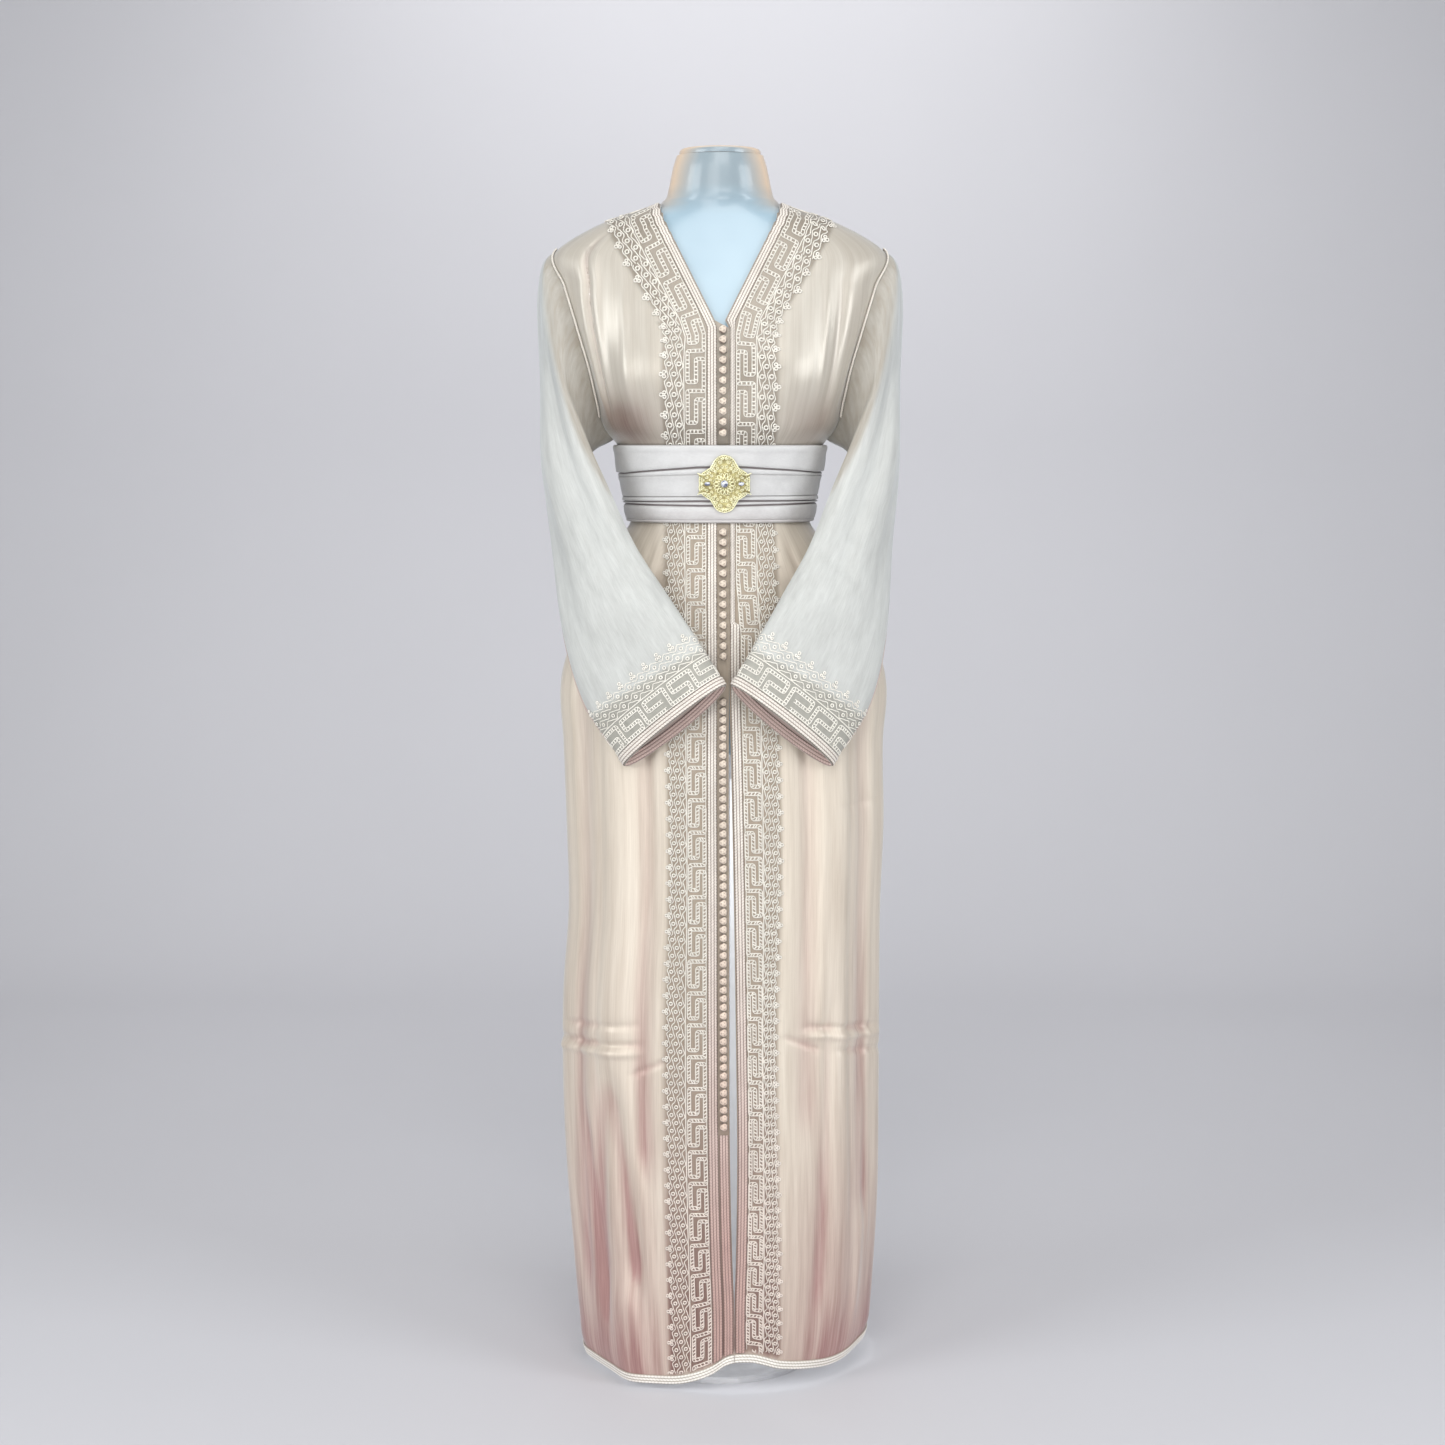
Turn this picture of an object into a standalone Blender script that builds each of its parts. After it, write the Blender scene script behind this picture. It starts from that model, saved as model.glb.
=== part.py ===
"""Takchita, a Moroccan robe with a wide pleated belt, worn by a limbless dress form on a stand.

Metres, +Z up, the front faces -Y, the origin on the floor under the form.
Side names are the wearer's: left is +X, right is -X.

The robe's body is a stack of level sections from hem to neck. A place on it is (z, around):
around is 0 at the front centre, +1 at the left side seam, -1 at the right one and +-2 at the back.
Every panel, braid and button is worked out on that surface and moved along its normal.
"""

import math
from collections import namedtuple
from functools import lru_cache

import bmesh
import bpy
import numpy as np

# Driving sizes.
WALL = 0.0016  # cloth with its lining
SEAM_GAP = 0.0003
HEM_Z = 0.0105
NECK_Z = 1.457
SHOULDER_TIP_Z = 1.402
ARMPIT_Z = 1.170
NECK_POINT_Z = 1.312  # lowest point of the V neck
OPENING_TOP_Z = 1.303  # the fronts meet from here down
ARMHOLE_HALF_WIDTH = 0.043
BELT_BOTTOM_Z = 1.070
BELT_HEIGHT = 0.094

EMBROIDERY_RELIEF = 0.0008
BRAID_WIDTH = 0.0115
BRAID_HEIGHT = 0.0012
BUTTON_RADIUS = 0.0046
BUTTON_LOOP_RADIUS = 0.0014  # the cord between two buttons
SEAM_CORD_RADIUS = 0.0011

FORM_NECK_TOP_Z = 1.5155
CAP_THICKNESS = 0.0080
BASE_RADIUS = 0.120
BASE_THICKNESS = 0.008
POLE_RADIUS = 0.0125
FLANGE_RADIUS = 0.028

BROOCH_Z = 1.1174
BROOCH_X = 0.0053

# "squareness" is 2 for an ellipse and more where the section fills its corners; "shift" moves
# the section's middle to the left side.
Section = namedtuple("Section", "z half_width front back squareness shift")
ROBE_SECTIONS = [
    Section(0.010, 0.1770, 0.1500, 0.1560, 2.05, 0.006),
    Section(0.035, 0.1835, 0.1505, 0.1570, 2.15, 0.006),
    Section(0.060, 0.1850, 0.1505, 0.1575, 2.25, 0.006),
    Section(0.100, 0.1875, 0.1500, 0.1570, 2.35, 0.0054),
    Section(0.170, 0.1915, 0.1490, 0.1560, 2.45, 0.0045),
    Section(0.235, 0.1950, 0.1480, 0.1540, 2.5, 0.0032),
    Section(0.350, 0.1980, 0.1460, 0.1500, 2.5, 0.0008),
    Section(0.490, 0.1975, 0.1430, 0.1460, 2.5, 0.0012),
    Section(0.590, 0.1940, 0.1410, 0.1430, 2.5, 0.0050),
    Section(0.700, 0.1970, 0.1380, 0.1410, 2.5, 0.0058),
    Section(0.800, 0.1980, 0.1355, 0.1395, 2.5, 0.0035),
    Section(0.870, 0.2015, 0.1320, 0.1380, 2.5, 0.0040),
    Section(0.940, 0.1830, 0.1250, 0.1320, 2.5, 0.0030),
    Section(1.000, 0.1560, 0.1130, 0.1170, 2.4, 0.0015),
    Section(1.045, 0.1270, 0.0990, 0.0960, 2.3, 0.0),
    Section(1.070, 0.1110, 0.0920, 0.0865, 2.2, 0.0),
    Section(1.115, 0.1185, 0.0935, 0.0855, 2.2, 0.0),
    Section(1.164, 0.1275, 0.0985, 0.0885, 2.2, 0.0),
    Section(1.182, 0.1420, 0.1090, 0.0965, 2.3, 0.0),
    Section(1.215, 0.1530, 0.1150, 0.1000, 2.3, 0.0),
    Section(1.255, 0.1650, 0.1150, 0.1030, 2.3, 0.0),
    Section(1.310, 0.1840, 0.1040, 0.1040, 2.3, 0.0),
    Section(1.355, 0.1960, 0.0880, 0.0980, 2.3, 0.0),
    Section(1.402, 0.2000, 0.0700, 0.0820, 2.2, 0.0),
    Section(1.424, 0.1660, 0.0650, 0.0730, 2.1, 0.0),
    Section(1.435, 0.1430, 0.0620, 0.0690, 2.05, 0.0),
    Section(1.446, 0.1110, 0.0595, 0.0655, 2.0, 0.0),
    Section(1.457, 0.0755, 0.0570, 0.0620, 2.0, 0.0),
]

# The heights of the panels' rows, from the neck down. The armhole rows are shared with the sleeves.
SHOULDER_ROWS = [NECK_Z, 1.4532, 1.445, 1.433, 1.418]
ARMHOLE_ROWS = [
    SHOULDER_TIP_Z, 1.393, 1.376, 1.350, NECK_POINT_Z, OPENING_TOP_Z, 1.268, 1.232, 1.200, 1.180, ARMPIT_Z,
]
SKIRT_ROWS = [
    1.163, 1.115, 1.072, 1.055, 1.025, 0.985, 0.940, 0.880, 0.800, 0.700, 0.590, 0.470, 0.350, 0.250,
    0.165, 0.095, 0.050, 0.024, HEM_Z,
]
ROWS = SHOULDER_ROWS + ARMHOLE_ROWS + SKIRT_ROWS

# How far the dress form lies inside the robe's outer face.
Clearance = namedtuple("Clearance", "z inside")
FORM_CLEARANCE = [
    Clearance(0.800, 0.0300),
    Clearance(0.870, 0.0220),
    Clearance(0.940, 0.0180),
    Clearance(1.000, 0.0120),
    Clearance(1.045, 0.0080),
    Clearance(1.070, 0.0046),
    Clearance(1.164, 0.0046),
    Clearance(1.182, 0.0130),
    Clearance(1.215, 0.0110),
    Clearance(1.255, 0.0065),
    Clearance(1.310, 0.0045),
    Clearance(1.355, 0.0044),
    Clearance(1.402, 0.0044),
    Clearance(1.433, 0.0044),
    Clearance(1.457, 0.0036),
]
FORM_ROWS = [
    0.800, 0.850, 0.910, 0.965, 1.010, 1.045, 1.070, 1.118, 1.164, 1.184, 1.215, 1.250, 1.285, 1.320,
    1.355, 1.385, 1.402, 1.418, 1.433, 1.445, 1.457,
]
NeckRing = namedtuple("NeckRing", "z half_width front back")
FORM_NECK = [
    NeckRing(1.4625, 0.0682, 0.0545, 0.0595),
    NeckRing(1.4740, 0.0636, 0.0535, 0.0578),
    NeckRing(1.4900, 0.0602, 0.0522, 0.0560),
    NeckRing(1.5040, 0.0570, 0.0508, 0.0540),
    NeckRing(FORM_NECK_TOP_Z, 0.0532, 0.0490, 0.0515),
]

# Soft folds: a ridge has a positive height and a trough a negative one. Each fades out at its top
# and bottom. "lean" is how far around the fold moves for each metre down.
FOLD_FADE = 0.07
Fold = namedtuple("Fold", "around height width top bottom lean")
FOLDS = [
    # Right front of the skirt.
    Fold(-0.37, -0.0060, 0.050, 1.040, 0.240, 0.03),
    Fold(-0.49, 0.0050, 0.070, 1.050, 0.120, 0.00),
    Fold(-0.66, -0.0055, 0.060, 1.000, 0.080, -0.06),
    Fold(-0.83, 0.0045, 0.080, 0.950, -0.060, 0.00),
    Fold(-0.52, -0.0065, 0.045, 0.420, 0.060, -0.20),
    Fold(-0.44, 0.0120, 0.110, 0.170, -0.080, 0.00),
    # Left front of the skirt.
    Fold(0.38, -0.0040, 0.050, 1.040, 0.300, 0.00),
    Fold(0.52, 0.0045, 0.065, 1.030, 0.040, 0.02),
    Fold(0.66, -0.0060, 0.060, 1.010, 0.180, 0.05),
    Fold(0.84, 0.0050, 0.070, 0.980, -0.060, 0.00),
    # Gathers under the belt.
    Fold(-0.62, 0.0035, 0.035, 1.069, 0.930, 0.00),
    Fold(-0.46, -0.0025, 0.030, 1.069, 0.930, 0.00),
    Fold(0.46, -0.0025, 0.030, 1.069, 0.930, 0.00),
    Fold(0.62, 0.0035, 0.035, 1.069, 0.930, 0.00),
    # Back of the skirt.
    Fold(1.20, -0.0055, 0.080, 1.060, -0.070, 0.02),
    Fold(1.38, 0.0070, 0.080, 1.065, -0.070, 0.04),
    Fold(1.58, -0.0065, 0.080, 1.060, -0.070, 0.03),
    Fold(1.78, 0.0070, 0.080, 1.065, -0.070, 0.00),
    Fold(-1.22, 0.0055, 0.080, 1.060, -0.070, -0.03),
    Fold(-1.42, -0.0065, 0.080, 1.060, -0.070, -0.02),
    Fold(-1.60, 0.0070, 0.080, 1.065, -0.070, 0.00),
    Fold(-1.80, -0.0060, 0.080, 1.060, -0.070, 0.00),
    # Tucks that start at the shoulder seam, and the slack cloth above the belt.
    Fold(-0.72, 0.0042, 0.050, 1.410, 1.165, 0.00),
    Fold(0.70, 0.0034, 0.060, 1.400, 1.170, -0.10),
    Fold(-0.52, 0.0030, 0.060, 1.310, 1.165, 0.10),
    Fold(1.55, 0.0045, 0.090, 1.320, 1.165, 0.00),
    Fold(-1.55, 0.0045, 0.090, 1.320, 1.165, 0.00),
]

# The bust of a plain dress form.
BUST_AROUND = 0.42
BUST_Z = 1.247
BUST_HEIGHT = 0.0085
BUST_WIDTH = 0.20
BUST_TALL = 0.042

# How far the hem is lifted above its lowest point, right side and left side.
HemLift = namedtuple("HemLift", "around lift")
HEM_LIFT = [
    HemLift(-2.00, 0.012),
    HemLift(-1.50, 0.010),
    HemLift(-1.00, 0.004),
    HemLift(-0.42, -0.003),
    HemLift(-0.18, 0.001),
    HemLift(-0.05, 0.015),
    HemLift(0.00, 0.024),
    HemLift(0.11, 0.028),
    HemLift(0.27, 0.0165),
    HemLift(0.40, 0.0115),
    HemLift(0.55, 0.0085),
    HemLift(0.70, 0.0125),
    HemLift(0.85, 0.024),
    HemLift(1.00, 0.042),
    HemLift(1.50, 0.030),
    HemLift(2.00, 0.012),
]
HEM_LIFT_REACH = 0.25

# The line where the fronts meet, and how far each edge stands off it.
Opening = namedtuple("Opening", "z middle apart")
FRONT_OPENING = [
    Opening(0.010, 0.0175, 0.00015),
    Opening(0.090, 0.0175, 0.00030),
    Opening(0.160, 0.0172, 0.0022),
    Opening(0.300, 0.0165, 0.0044),
    Opening(0.450, 0.0152, 0.0040),
    Opening(0.620, 0.0138, 0.0028),
    Opening(0.780, 0.0120, 0.0014),
    Opening(0.880, 0.0110, 0.00018),
    Opening(1.000, 0.0108, 0.00015),
    Opening(OPENING_TOP_Z, 0.0107, 0.00015),
]

# The sleeve: the track of its front fold, its outer face, its back fold and its inner face.
Track = namedtuple("Track", "t front outer back inner")
SLEEVE = [
    Track(0.00, (0.160, -0.040, 1.285), (0.2000, 0.000, 1.402), (0.160, 0.042, 1.285), (0.139, 0.000, 1.170)),
    Track(0.06, (0.173, -0.054, 1.262), (0.2140, -0.003, 1.390), (0.180, 0.052, 1.290), (0.147, -0.001, 1.165)),
    Track(0.12, (0.178, -0.063, 1.235), (0.2195, -0.008, 1.355), (0.196, 0.050, 1.280), (0.156, -0.002, 1.160)),
    Track(0.25, (0.166, -0.076, 1.185), (0.2170, -0.028, 1.250), (0.205, 0.028, 1.225), (0.170, -0.012, 1.140)),
    Track(0.40, (0.136, -0.094, 1.115), (0.2010, -0.070, 1.140), (0.212, -0.006, 1.130), (0.170, -0.040, 1.085)),
    Track(0.55, (0.105, -0.115, 1.045), (0.1690, -0.106, 1.045), (0.207, -0.048, 1.028), (0.152, -0.079, 1.020)),
    Track(0.70, (0.068, -0.136, 0.985), (0.1380, -0.140, 0.966), (0.196, -0.085, 0.930), (0.129, -0.117, 0.938)),
    Track(0.85, (0.034, -0.150, 0.930), (0.1020, -0.157, 0.898), (0.1715, -0.112, 0.848), (0.101, -0.134, 0.872)),
    Track(1.00, (0.003, -0.156, 0.878), (0.0640, -0.165, 0.839), (0.1250, -0.130, 0.780), (0.064, -0.1395, 0.816)),
]
SLEEVE_STATIONS = [
    0.00, 0.03, 0.07, 0.12, 0.19, 0.27, 0.36, 0.45, 0.55, 0.65, 0.75, 0.83, 0.865, 0.875, 0.975, 1.00,
]
SLEEVE_SETTLES_AT = 0.30  # where the armhole's own shape has faded out
CUFF_EMBROIDERY_FROM = 0.865
CUFF_SHIFT = 0.010  # both cuffs meet a little to the left of the centre

# Creases on the sleeves: angle round the sleeve from its front fold towards its outer face.
SleeveCrease = namedtuple("SleeveCrease", "angle height width start end")
SLEEVE_CREASES = {  # by side: -1 is the right sleeve, 1 the left one
    -1: [
        SleeveCrease(35.0, 0.0030, 16.0, 0.10, 0.62),
        SleeveCrease(60.0, -0.0030, 14.0, 0.15, 0.55),
        SleeveCrease(110.0, 0.0030, 20.0, 0.30, 0.80),
        SleeveCrease(140.0, -0.0025, 16.0, 0.40, 0.78),
        SleeveCrease(225.0, 0.0035, 25.0, 0.12, 0.50),
    ],
    1: [
        SleeveCrease(30.0, 0.0026, 17.0, 0.10, 0.58),
        SleeveCrease(66.0, -0.0026, 15.0, 0.18, 0.60),
        SleeveCrease(103.0, 0.0032, 18.0, 0.26, 0.76),
        SleeveCrease(148.0, -0.0020, 18.0, 0.44, 0.84),
        SleeveCrease(215.0, 0.0032, 26.0, 0.12, 0.46),
    ],
}

# The belt's outer face: height above its lower edge and how far it stands off the robe.
BeltStep = namedtuple("BeltStep", "up out")
BELT_INNER = 0.0024
BELT_ROWS = [0.0, 0.045, BELT_HEIGHT]  # its inner face runs straight between these heights
BELT_PLEATS = [
    BeltStep(0.0000, 0.0038),
    BeltStep(0.0018, 0.0054),
    BeltStep(0.0200, 0.0062),
    BeltStep(0.0228, 0.0043),
    BeltStep(0.0262, 0.0058),
    BeltStep(0.0294, 0.0044),
    BeltStep(0.0325, 0.0058),
    BeltStep(0.0450, 0.0053),
    BeltStep(0.0585, 0.0062),
    BeltStep(0.0640, 0.0055),
    BeltStep(0.0674, 0.0043),
    BeltStep(0.0705, 0.0064),
    BeltStep(0.0905, 0.0060),
    BeltStep(0.0940, 0.0040),
]
BELT_COLUMNS = 32


# Scene helpers.


def clear_scene():
    for old in list(bpy.data.objects):
        bpy.data.objects.remove(old)


@lru_cache(maxsize=None)
def material(name, colour, roughness, metallic=0.0):
    made = bpy.data.materials.new(name)
    made.use_nodes = True
    shader = made.node_tree.nodes["Principled BSDF"]
    shader.inputs["Base Color"].default_value = (*colour, 1.0)
    shader.inputs["Roughness"].default_value = roughness
    shader.inputs["Metallic"].default_value = metallic
    made.diffuse_color = (*colour, 1.0)
    return made


def satin():
    return material("champagne_satin", (0.78, 0.72, 0.65), 0.32)


def sleeve_satin():
    return material("pale_satin", (0.82, 0.81, 0.78), 0.35)


def braid_silk():
    return material("cream_braid", (0.85, 0.78, 0.68), 0.5)


def button_silk():
    return material("rose_cream_knots", (0.80, 0.66, 0.56), 0.5)


def belt_satin():
    return material("belt_satin", (0.78, 0.73, 0.72), 0.4)


def gilt():
    return material("gilt_metal", (0.85, 0.68, 0.30), 0.25, 1.0)


def crystal():
    return material("clear_stone", (0.75, 0.82, 0.95), 0.05)


def form_plastic():
    return material("pearl_plastic", (0.83, 0.88, 0.90), 0.15)


def stand_steel():
    return material("brushed_stand", (0.72, 0.72, 0.74), 0.3, 1.0)


def garment():
    return bpy.data.collections["takchita"]


def add_object(name, data, look):
    made = bpy.data.objects.new(name, data)
    data.materials.append(look)
    garment().objects.link(made)
    return made


def skin(name, loops, look, joined=False):
    """One closed solid through closed loops of equal length.

    joined: the last loop meets the first, as in a ring. Otherwise each end is closed with a
    strip across its loop, which suits a flat panel edge and a convex ring alike."""
    loops = np.asarray(loops, float)
    count, around = loops.shape[:2]
    faces = []
    for i in range(count if joined else count - 1):
        here, there = i * around, (i + 1) % count * around
        for j in range(around):
            k = (j + 1) % around
            faces.append((here + j, here + k, there + k, there + j))
    if not joined:
        for start in (0, (count - 1) * around):
            for j in range(around // 2 - 1):
                a, b = start + j, start + around - 1 - j
                faces.append((a, a + 1, b - 1, b))
    mesh = bpy.data.meshes.new(name)
    mesh.from_pydata([tuple(p) for p in loops.reshape(-1, 3)], [], faces)
    work = bmesh.new()
    work.from_mesh(mesh)
    bmesh.ops.recalc_face_normals(work, faces=work.faces)
    work.to_mesh(mesh)
    work.free()
    mesh.shade_smooth()
    mesh.set_sharp_from_angle(angle=math.radians(50))
    return add_object(name, mesh, look)


def panel(name, outer, inner, look):
    """A cloth wall from its outer and inner grids, [row][column]."""
    return skin(name, np.concatenate([outer, inner[:, ::-1]], axis=1), look)


def tube(name, outer, inner, look):
    """A cloth tube, open at both ends, from its outer and inner grids, [station][column]."""
    loops = np.concatenate([outer, inner[::-1]], axis=0)
    return skin(name, loops.transpose(1, 0, 2), look, joined=True)


def turned(name, profile, look, at=(0.0, 0.0, 0.0), steps=32):
    """A turned shape: (radius, height) points down the outer side, closed on the axis."""
    mesh = bpy.data.meshes.new(name)
    points = [(radius, 0.0, height) for radius, height in profile]
    mesh.from_pydata(points, [(i, i + 1) for i in range(len(points) - 1)], [])
    made = add_object(name, mesh, look)
    made.location = at
    lathe = made.modifiers.new("lathe", "SCREW")
    lathe.steps = lathe.render_steps = steps
    lathe.use_merge_vertices = True
    lathe.merge_threshold = 0.0001
    return made


# Curves through the tables.


def through(places, values, at):
    """A smooth line through (places, values), read at "at": a cubic with central slopes."""
    places, values = np.asarray(places, float), np.asarray(values, float)
    slopes = np.gradient(values, places, axis=0)
    i = int(np.clip(np.searchsorted(places, at) - 1, 0, len(places) - 2))
    step = places[i + 1] - places[i]
    t = min(max((at - places[i]) / step, 0.0), 1.0)
    ease = t * t * (3 - 2 * t)
    blend = (1 - ease) * values[i] + ease * values[i + 1]
    return blend + step * t * (1 - t) * ((1 - t) * slopes[i] - t * slopes[i + 1])


def column_of(table, name):
    return [getattr(row, name) for row in table]


def read(table, key, name, at):
    return through(column_of(table, key), column_of(table, name), at)


def rise(value, start, end):
    """0 before start, 1 after end and a smooth step between."""
    t = min(max((value - start) / (end - start), 0.0), 1.0)
    return t * t * (3 - 2 * t)


# The robe's surface.


@lru_cache(maxsize=None)
def quarter(z, back):
    """One quarter of the section at z, from its middle to its side: across, depth and length along it."""
    half_width = read(ROBE_SECTIONS, "z", "half_width", z)
    depth = read(ROBE_SECTIONS, "z", "back" if back else "front", z)
    power = 2 / read(ROBE_SECTIONS, "z", "squareness", z)
    turn = np.linspace(0, math.pi / 2, 121)
    x = half_width * np.sin(turn) ** power
    y = depth * np.abs(np.cos(turn)) ** power
    along = np.concatenate([[0], np.cumsum(np.hypot(np.diff(x), np.diff(y)))])
    return x, y, along


def quarter_length(z, back=False):
    return quarter(z, back)[2][-1]


def length_at_x(z, x):
    """Length along the front section from its middle to x, negative on the right side."""
    across, _, along = quarter(z, False)
    x = x - read(ROBE_SECTIONS, "z", "shift", z)
    return math.copysign(np.interp(abs(x), across, along), x)


def wrapped(around):
    return (around + 2) % 4 - 2


def section_point(z, around):
    around = wrapped(around)
    side, reach = math.copysign(1, around), abs(around)
    back = reach > 1
    x, y, along = quarter(round(z, 6), back)
    place = (2 - reach if back else reach) * along[-1]
    depth = np.interp(place, along, y)
    middle = read(ROBE_SECTIONS, "z", "shift", z)
    return np.array([middle + side * np.interp(place, along, x), depth if back else -depth, z])


def outward(z, around):
    """The level direction out of the section."""
    step = section_point(z, around + 0.01) - section_point(z, around - 0.01)
    level = np.array([step[1], -step[0], 0.0])
    return level / np.linalg.norm(level)


def bust(z, around):
    near = (abs(abs(around) - BUST_AROUND) / BUST_WIDTH) ** 2 + ((z - BUST_Z) / BUST_TALL) ** 2
    return BUST_HEIGHT * math.exp(-near)


def fold_height(z, around):
    total = 0.0
    for fold in FOLDS:
        if not fold.bottom < z < fold.top:
            continue
        middle = fold.around + fold.lean * (fold.top - z)
        away = wrapped(around - middle) / fold.width
        fade = rise(z, fold.bottom, fold.bottom + FOLD_FADE) * (1 - rise(z, fold.top - FOLD_FADE, fold.top))
        total += fold.height * math.exp(-away * away) * fade
    return total


def hem_lift(z, around):
    lift = through(column_of(HEM_LIFT, "around"), column_of(HEM_LIFT, "lift"), wrapped(around))
    return lift * (1 - rise(z, HEM_Z, HEM_LIFT_REACH))


def smooth_point(z, around):
    """The plain surface that the form and the belt follow."""
    return section_point(z, around) + outward(z, around) * bust(z, wrapped(around))


def cloth_point(z, around):
    """The robe's outer face, with its folds and its uneven hem."""
    lift = outward(z, around) * (bust(z, wrapped(around)) + fold_height(z, around))
    return section_point(z, around) + lift + np.array([0.0, 0.0, hem_lift(z, around)])


def normal_of(surface, z, around):
    across = surface(z, around + 0.008) - surface(z, around - 0.008)
    upward = surface(min(z + 0.002, NECK_Z), around) - surface(z - 0.002, around)
    found = np.cross(across, upward)
    return found / np.linalg.norm(found)


def surface_grid(places):
    """Points and normals of the cloth at rows of (z, around)."""
    points = np.array([[cloth_point(z, v) for z, v in row] for row in places])
    normals = np.array([[normal_of(cloth_point, z, v) for z, v in row] for row in places])
    return points, normals


# Panel edges.


def armhole_reach(z):
    """Half the armhole's width along the section at z, 0 at both its ends."""
    t = (z - ARMPIT_Z) / (SHOULDER_TIP_Z - ARMPIT_Z)
    if not 0 < t < 1:
        return 0.0
    return ARMHOLE_HALF_WIDTH * math.sin(math.pi * t) ** 0.6


def side_length(z, back=False):
    """Length along a quarter section from the centre to the side seam or the armhole."""
    return quarter_length(z, back) - max(armhole_reach(z), SEAM_GAP / 2)


def neck_x(z):
    """The V neck's edge, from its point up to the shoulder."""
    return float(np.interp(z, [NECK_POINT_Z, 1.435, NECK_Z], [0.0060, 0.0675, 0.0745]))


def edge_length(z, side):
    """Where a front's free edge lies, as a length along the section away from the centre."""
    if z >= NECK_POINT_Z:
        return length_at_x(z, neck_x(z))
    middle = read(FRONT_OPENING, "z", "middle", z)
    apart = read(FRONT_OPENING, "z", "apart", z)
    return side * length_at_x(z, middle + side * apart)


def front_offsets(z, side):
    """Places across a front, as lengths from its free edge: placket, braid and embroidery."""
    in_neck = z >= NECK_POINT_Z
    placket = 0.0012 if in_neck or side > 0 else 0.0140
    narrow = side > 0 and 0.95 < z < NECK_POINT_Z
    braid_end = placket + (0.0060 if narrow else BRAID_WIDTH + 0.0006)
    band_start = braid_end + 0.0012
    edge = 0.0 if in_neck else edge_length(z, side)
    band_end = 0.0700 if in_neck else 0.0715 - edge
    return [
        0.0, placket, braid_end, band_start,
        band_start + (band_end - band_start) / 2,
        band_end, band_end + 0.0015,
    ]


RAISED_COLUMNS = (3, 4, 5)
FRONT_REST = 7  # columns between the embroidery and the side seam


def front_places(z, side):
    edge, end = edge_length(z, side), side_length(z)
    offsets = np.array(front_offsets(z, side))
    offsets = offsets * min(1.0, 0.66 * (end - edge) / offsets[-1])
    rest = np.linspace(offsets[-1], end - edge, FRONT_REST + 1)[1:]
    lengths = edge + np.concatenate([offsets, rest])
    return [(z, side * length / quarter_length(z)) for length in lengths]


BACK_HALF = 9  # columns from a side seam to the back centre


NECK_ROW_SHARES = [0.0, 1.0, 0.85, 0.55, 0.25]


def neck_row_drop(around):
    """How much lower than at the shoulder the back's second row runs, to keep the neck braid even."""
    heights = np.linspace(NECK_Z, NECK_Z - 0.020, 21)
    line = np.array([cloth_point(z, around) for z in heights])
    run = np.concatenate([[0], np.cumsum(np.linalg.norm(np.diff(line, axis=0), axis=1))])
    return max(0.0, ROWS[1] - np.interp(BRAID_WIDTH + 0.0008, run, heights))


def back_places(z):
    """Places across the back at a row, from its left edge over the centre to its right edge."""
    end = side_length(z, back=True) / quarter_length(z, back=True)
    share = np.linspace(end, 0.0, BACK_HALF + 1)
    arounds = [2 - s for s in share] + [-2 + s for s in share[::-1][1:]]
    row = ROWS.index(z)
    if not 0 < row < len(NECK_ROW_SHARES):
        return [(z, v) for v in arounds]
    inner = [neck_row_drop(v) * NECK_ROW_SHARES[row] * rise(abs(wrapped(v)), 1.0, 1.12) for v in arounds]
    return [(z - drop, v) for drop, v in zip(inner, arounds)]


def make_body():
    """The two fronts and the back. Returns each one's plain grid, normals and raised grid."""
    made = {}
    for name, side in (("front_right", -1), ("front_left", 1)):
        points, normals = surface_grid([front_places(z, side) for z in ROWS])
        outer = points.copy()
        for column in RAISED_COLUMNS:
            outer[:, column] += normals[:, column] * EMBROIDERY_RELIEF
        panel(name, outer, points - normals * WALL, satin())
        made[name] = (points, normals, outer)
    points, normals = surface_grid([back_places(z) for z in ROWS])
    panel("back", points, points - normals * WALL, satin())
    made["back"] = (points, normals, points)
    return made


# Trimmings that lie on the panels.


def raised_strip(name, tracks, normals, look, gap=SEAM_GAP):
    """A braid with a rounded back. tracks is [station][3 places across], on the cloth's face."""
    profile = np.array([0.7, 1.0, 0.7])[None, :, None] * BRAID_HEIGHT
    lower = tracks + normals * gap
    return panel(name, lower + normals * profile, lower, look)


def along_line(points, normals, distance):
    """The point and normal at a distance along a line of points."""
    run = np.concatenate([[0], np.cumsum(np.linalg.norm(np.diff(points, axis=0), axis=1))])
    pick = [np.array([np.interp(distance, run, part[:, i]) for i in range(3)]) for part in (points, normals)]
    return pick[0], pick[1] / np.linalg.norm(pick[1])


def strip_stations(lines, start, end):
    """Three places across a strip at each line, between two distances along it."""
    tracks, normals = [], []
    for points, facing in lines:
        picked = [along_line(points, facing, d) for d in (start, (start + end) / 2, end)]
        tracks.append([p for p, _ in picked])
        normals.append([n for _, n in picked])
    return np.array(tracks), np.array(normals)


def between_columns(grid, normals, first, last):
    """Three places between two columns of a panel at each row, just inside both."""
    tracks, facing = [], []
    for row, up in zip(grid, normals):
        tracks.append([row[first] * (1 - f) + row[last] * f for f in (0.04, 0.5, 0.96)])
        facing.append([up[first] * (1 - f) + up[last] * f for f in (0.04, 0.5, 0.96)])
    return np.array(tracks), np.array(facing)


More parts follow.
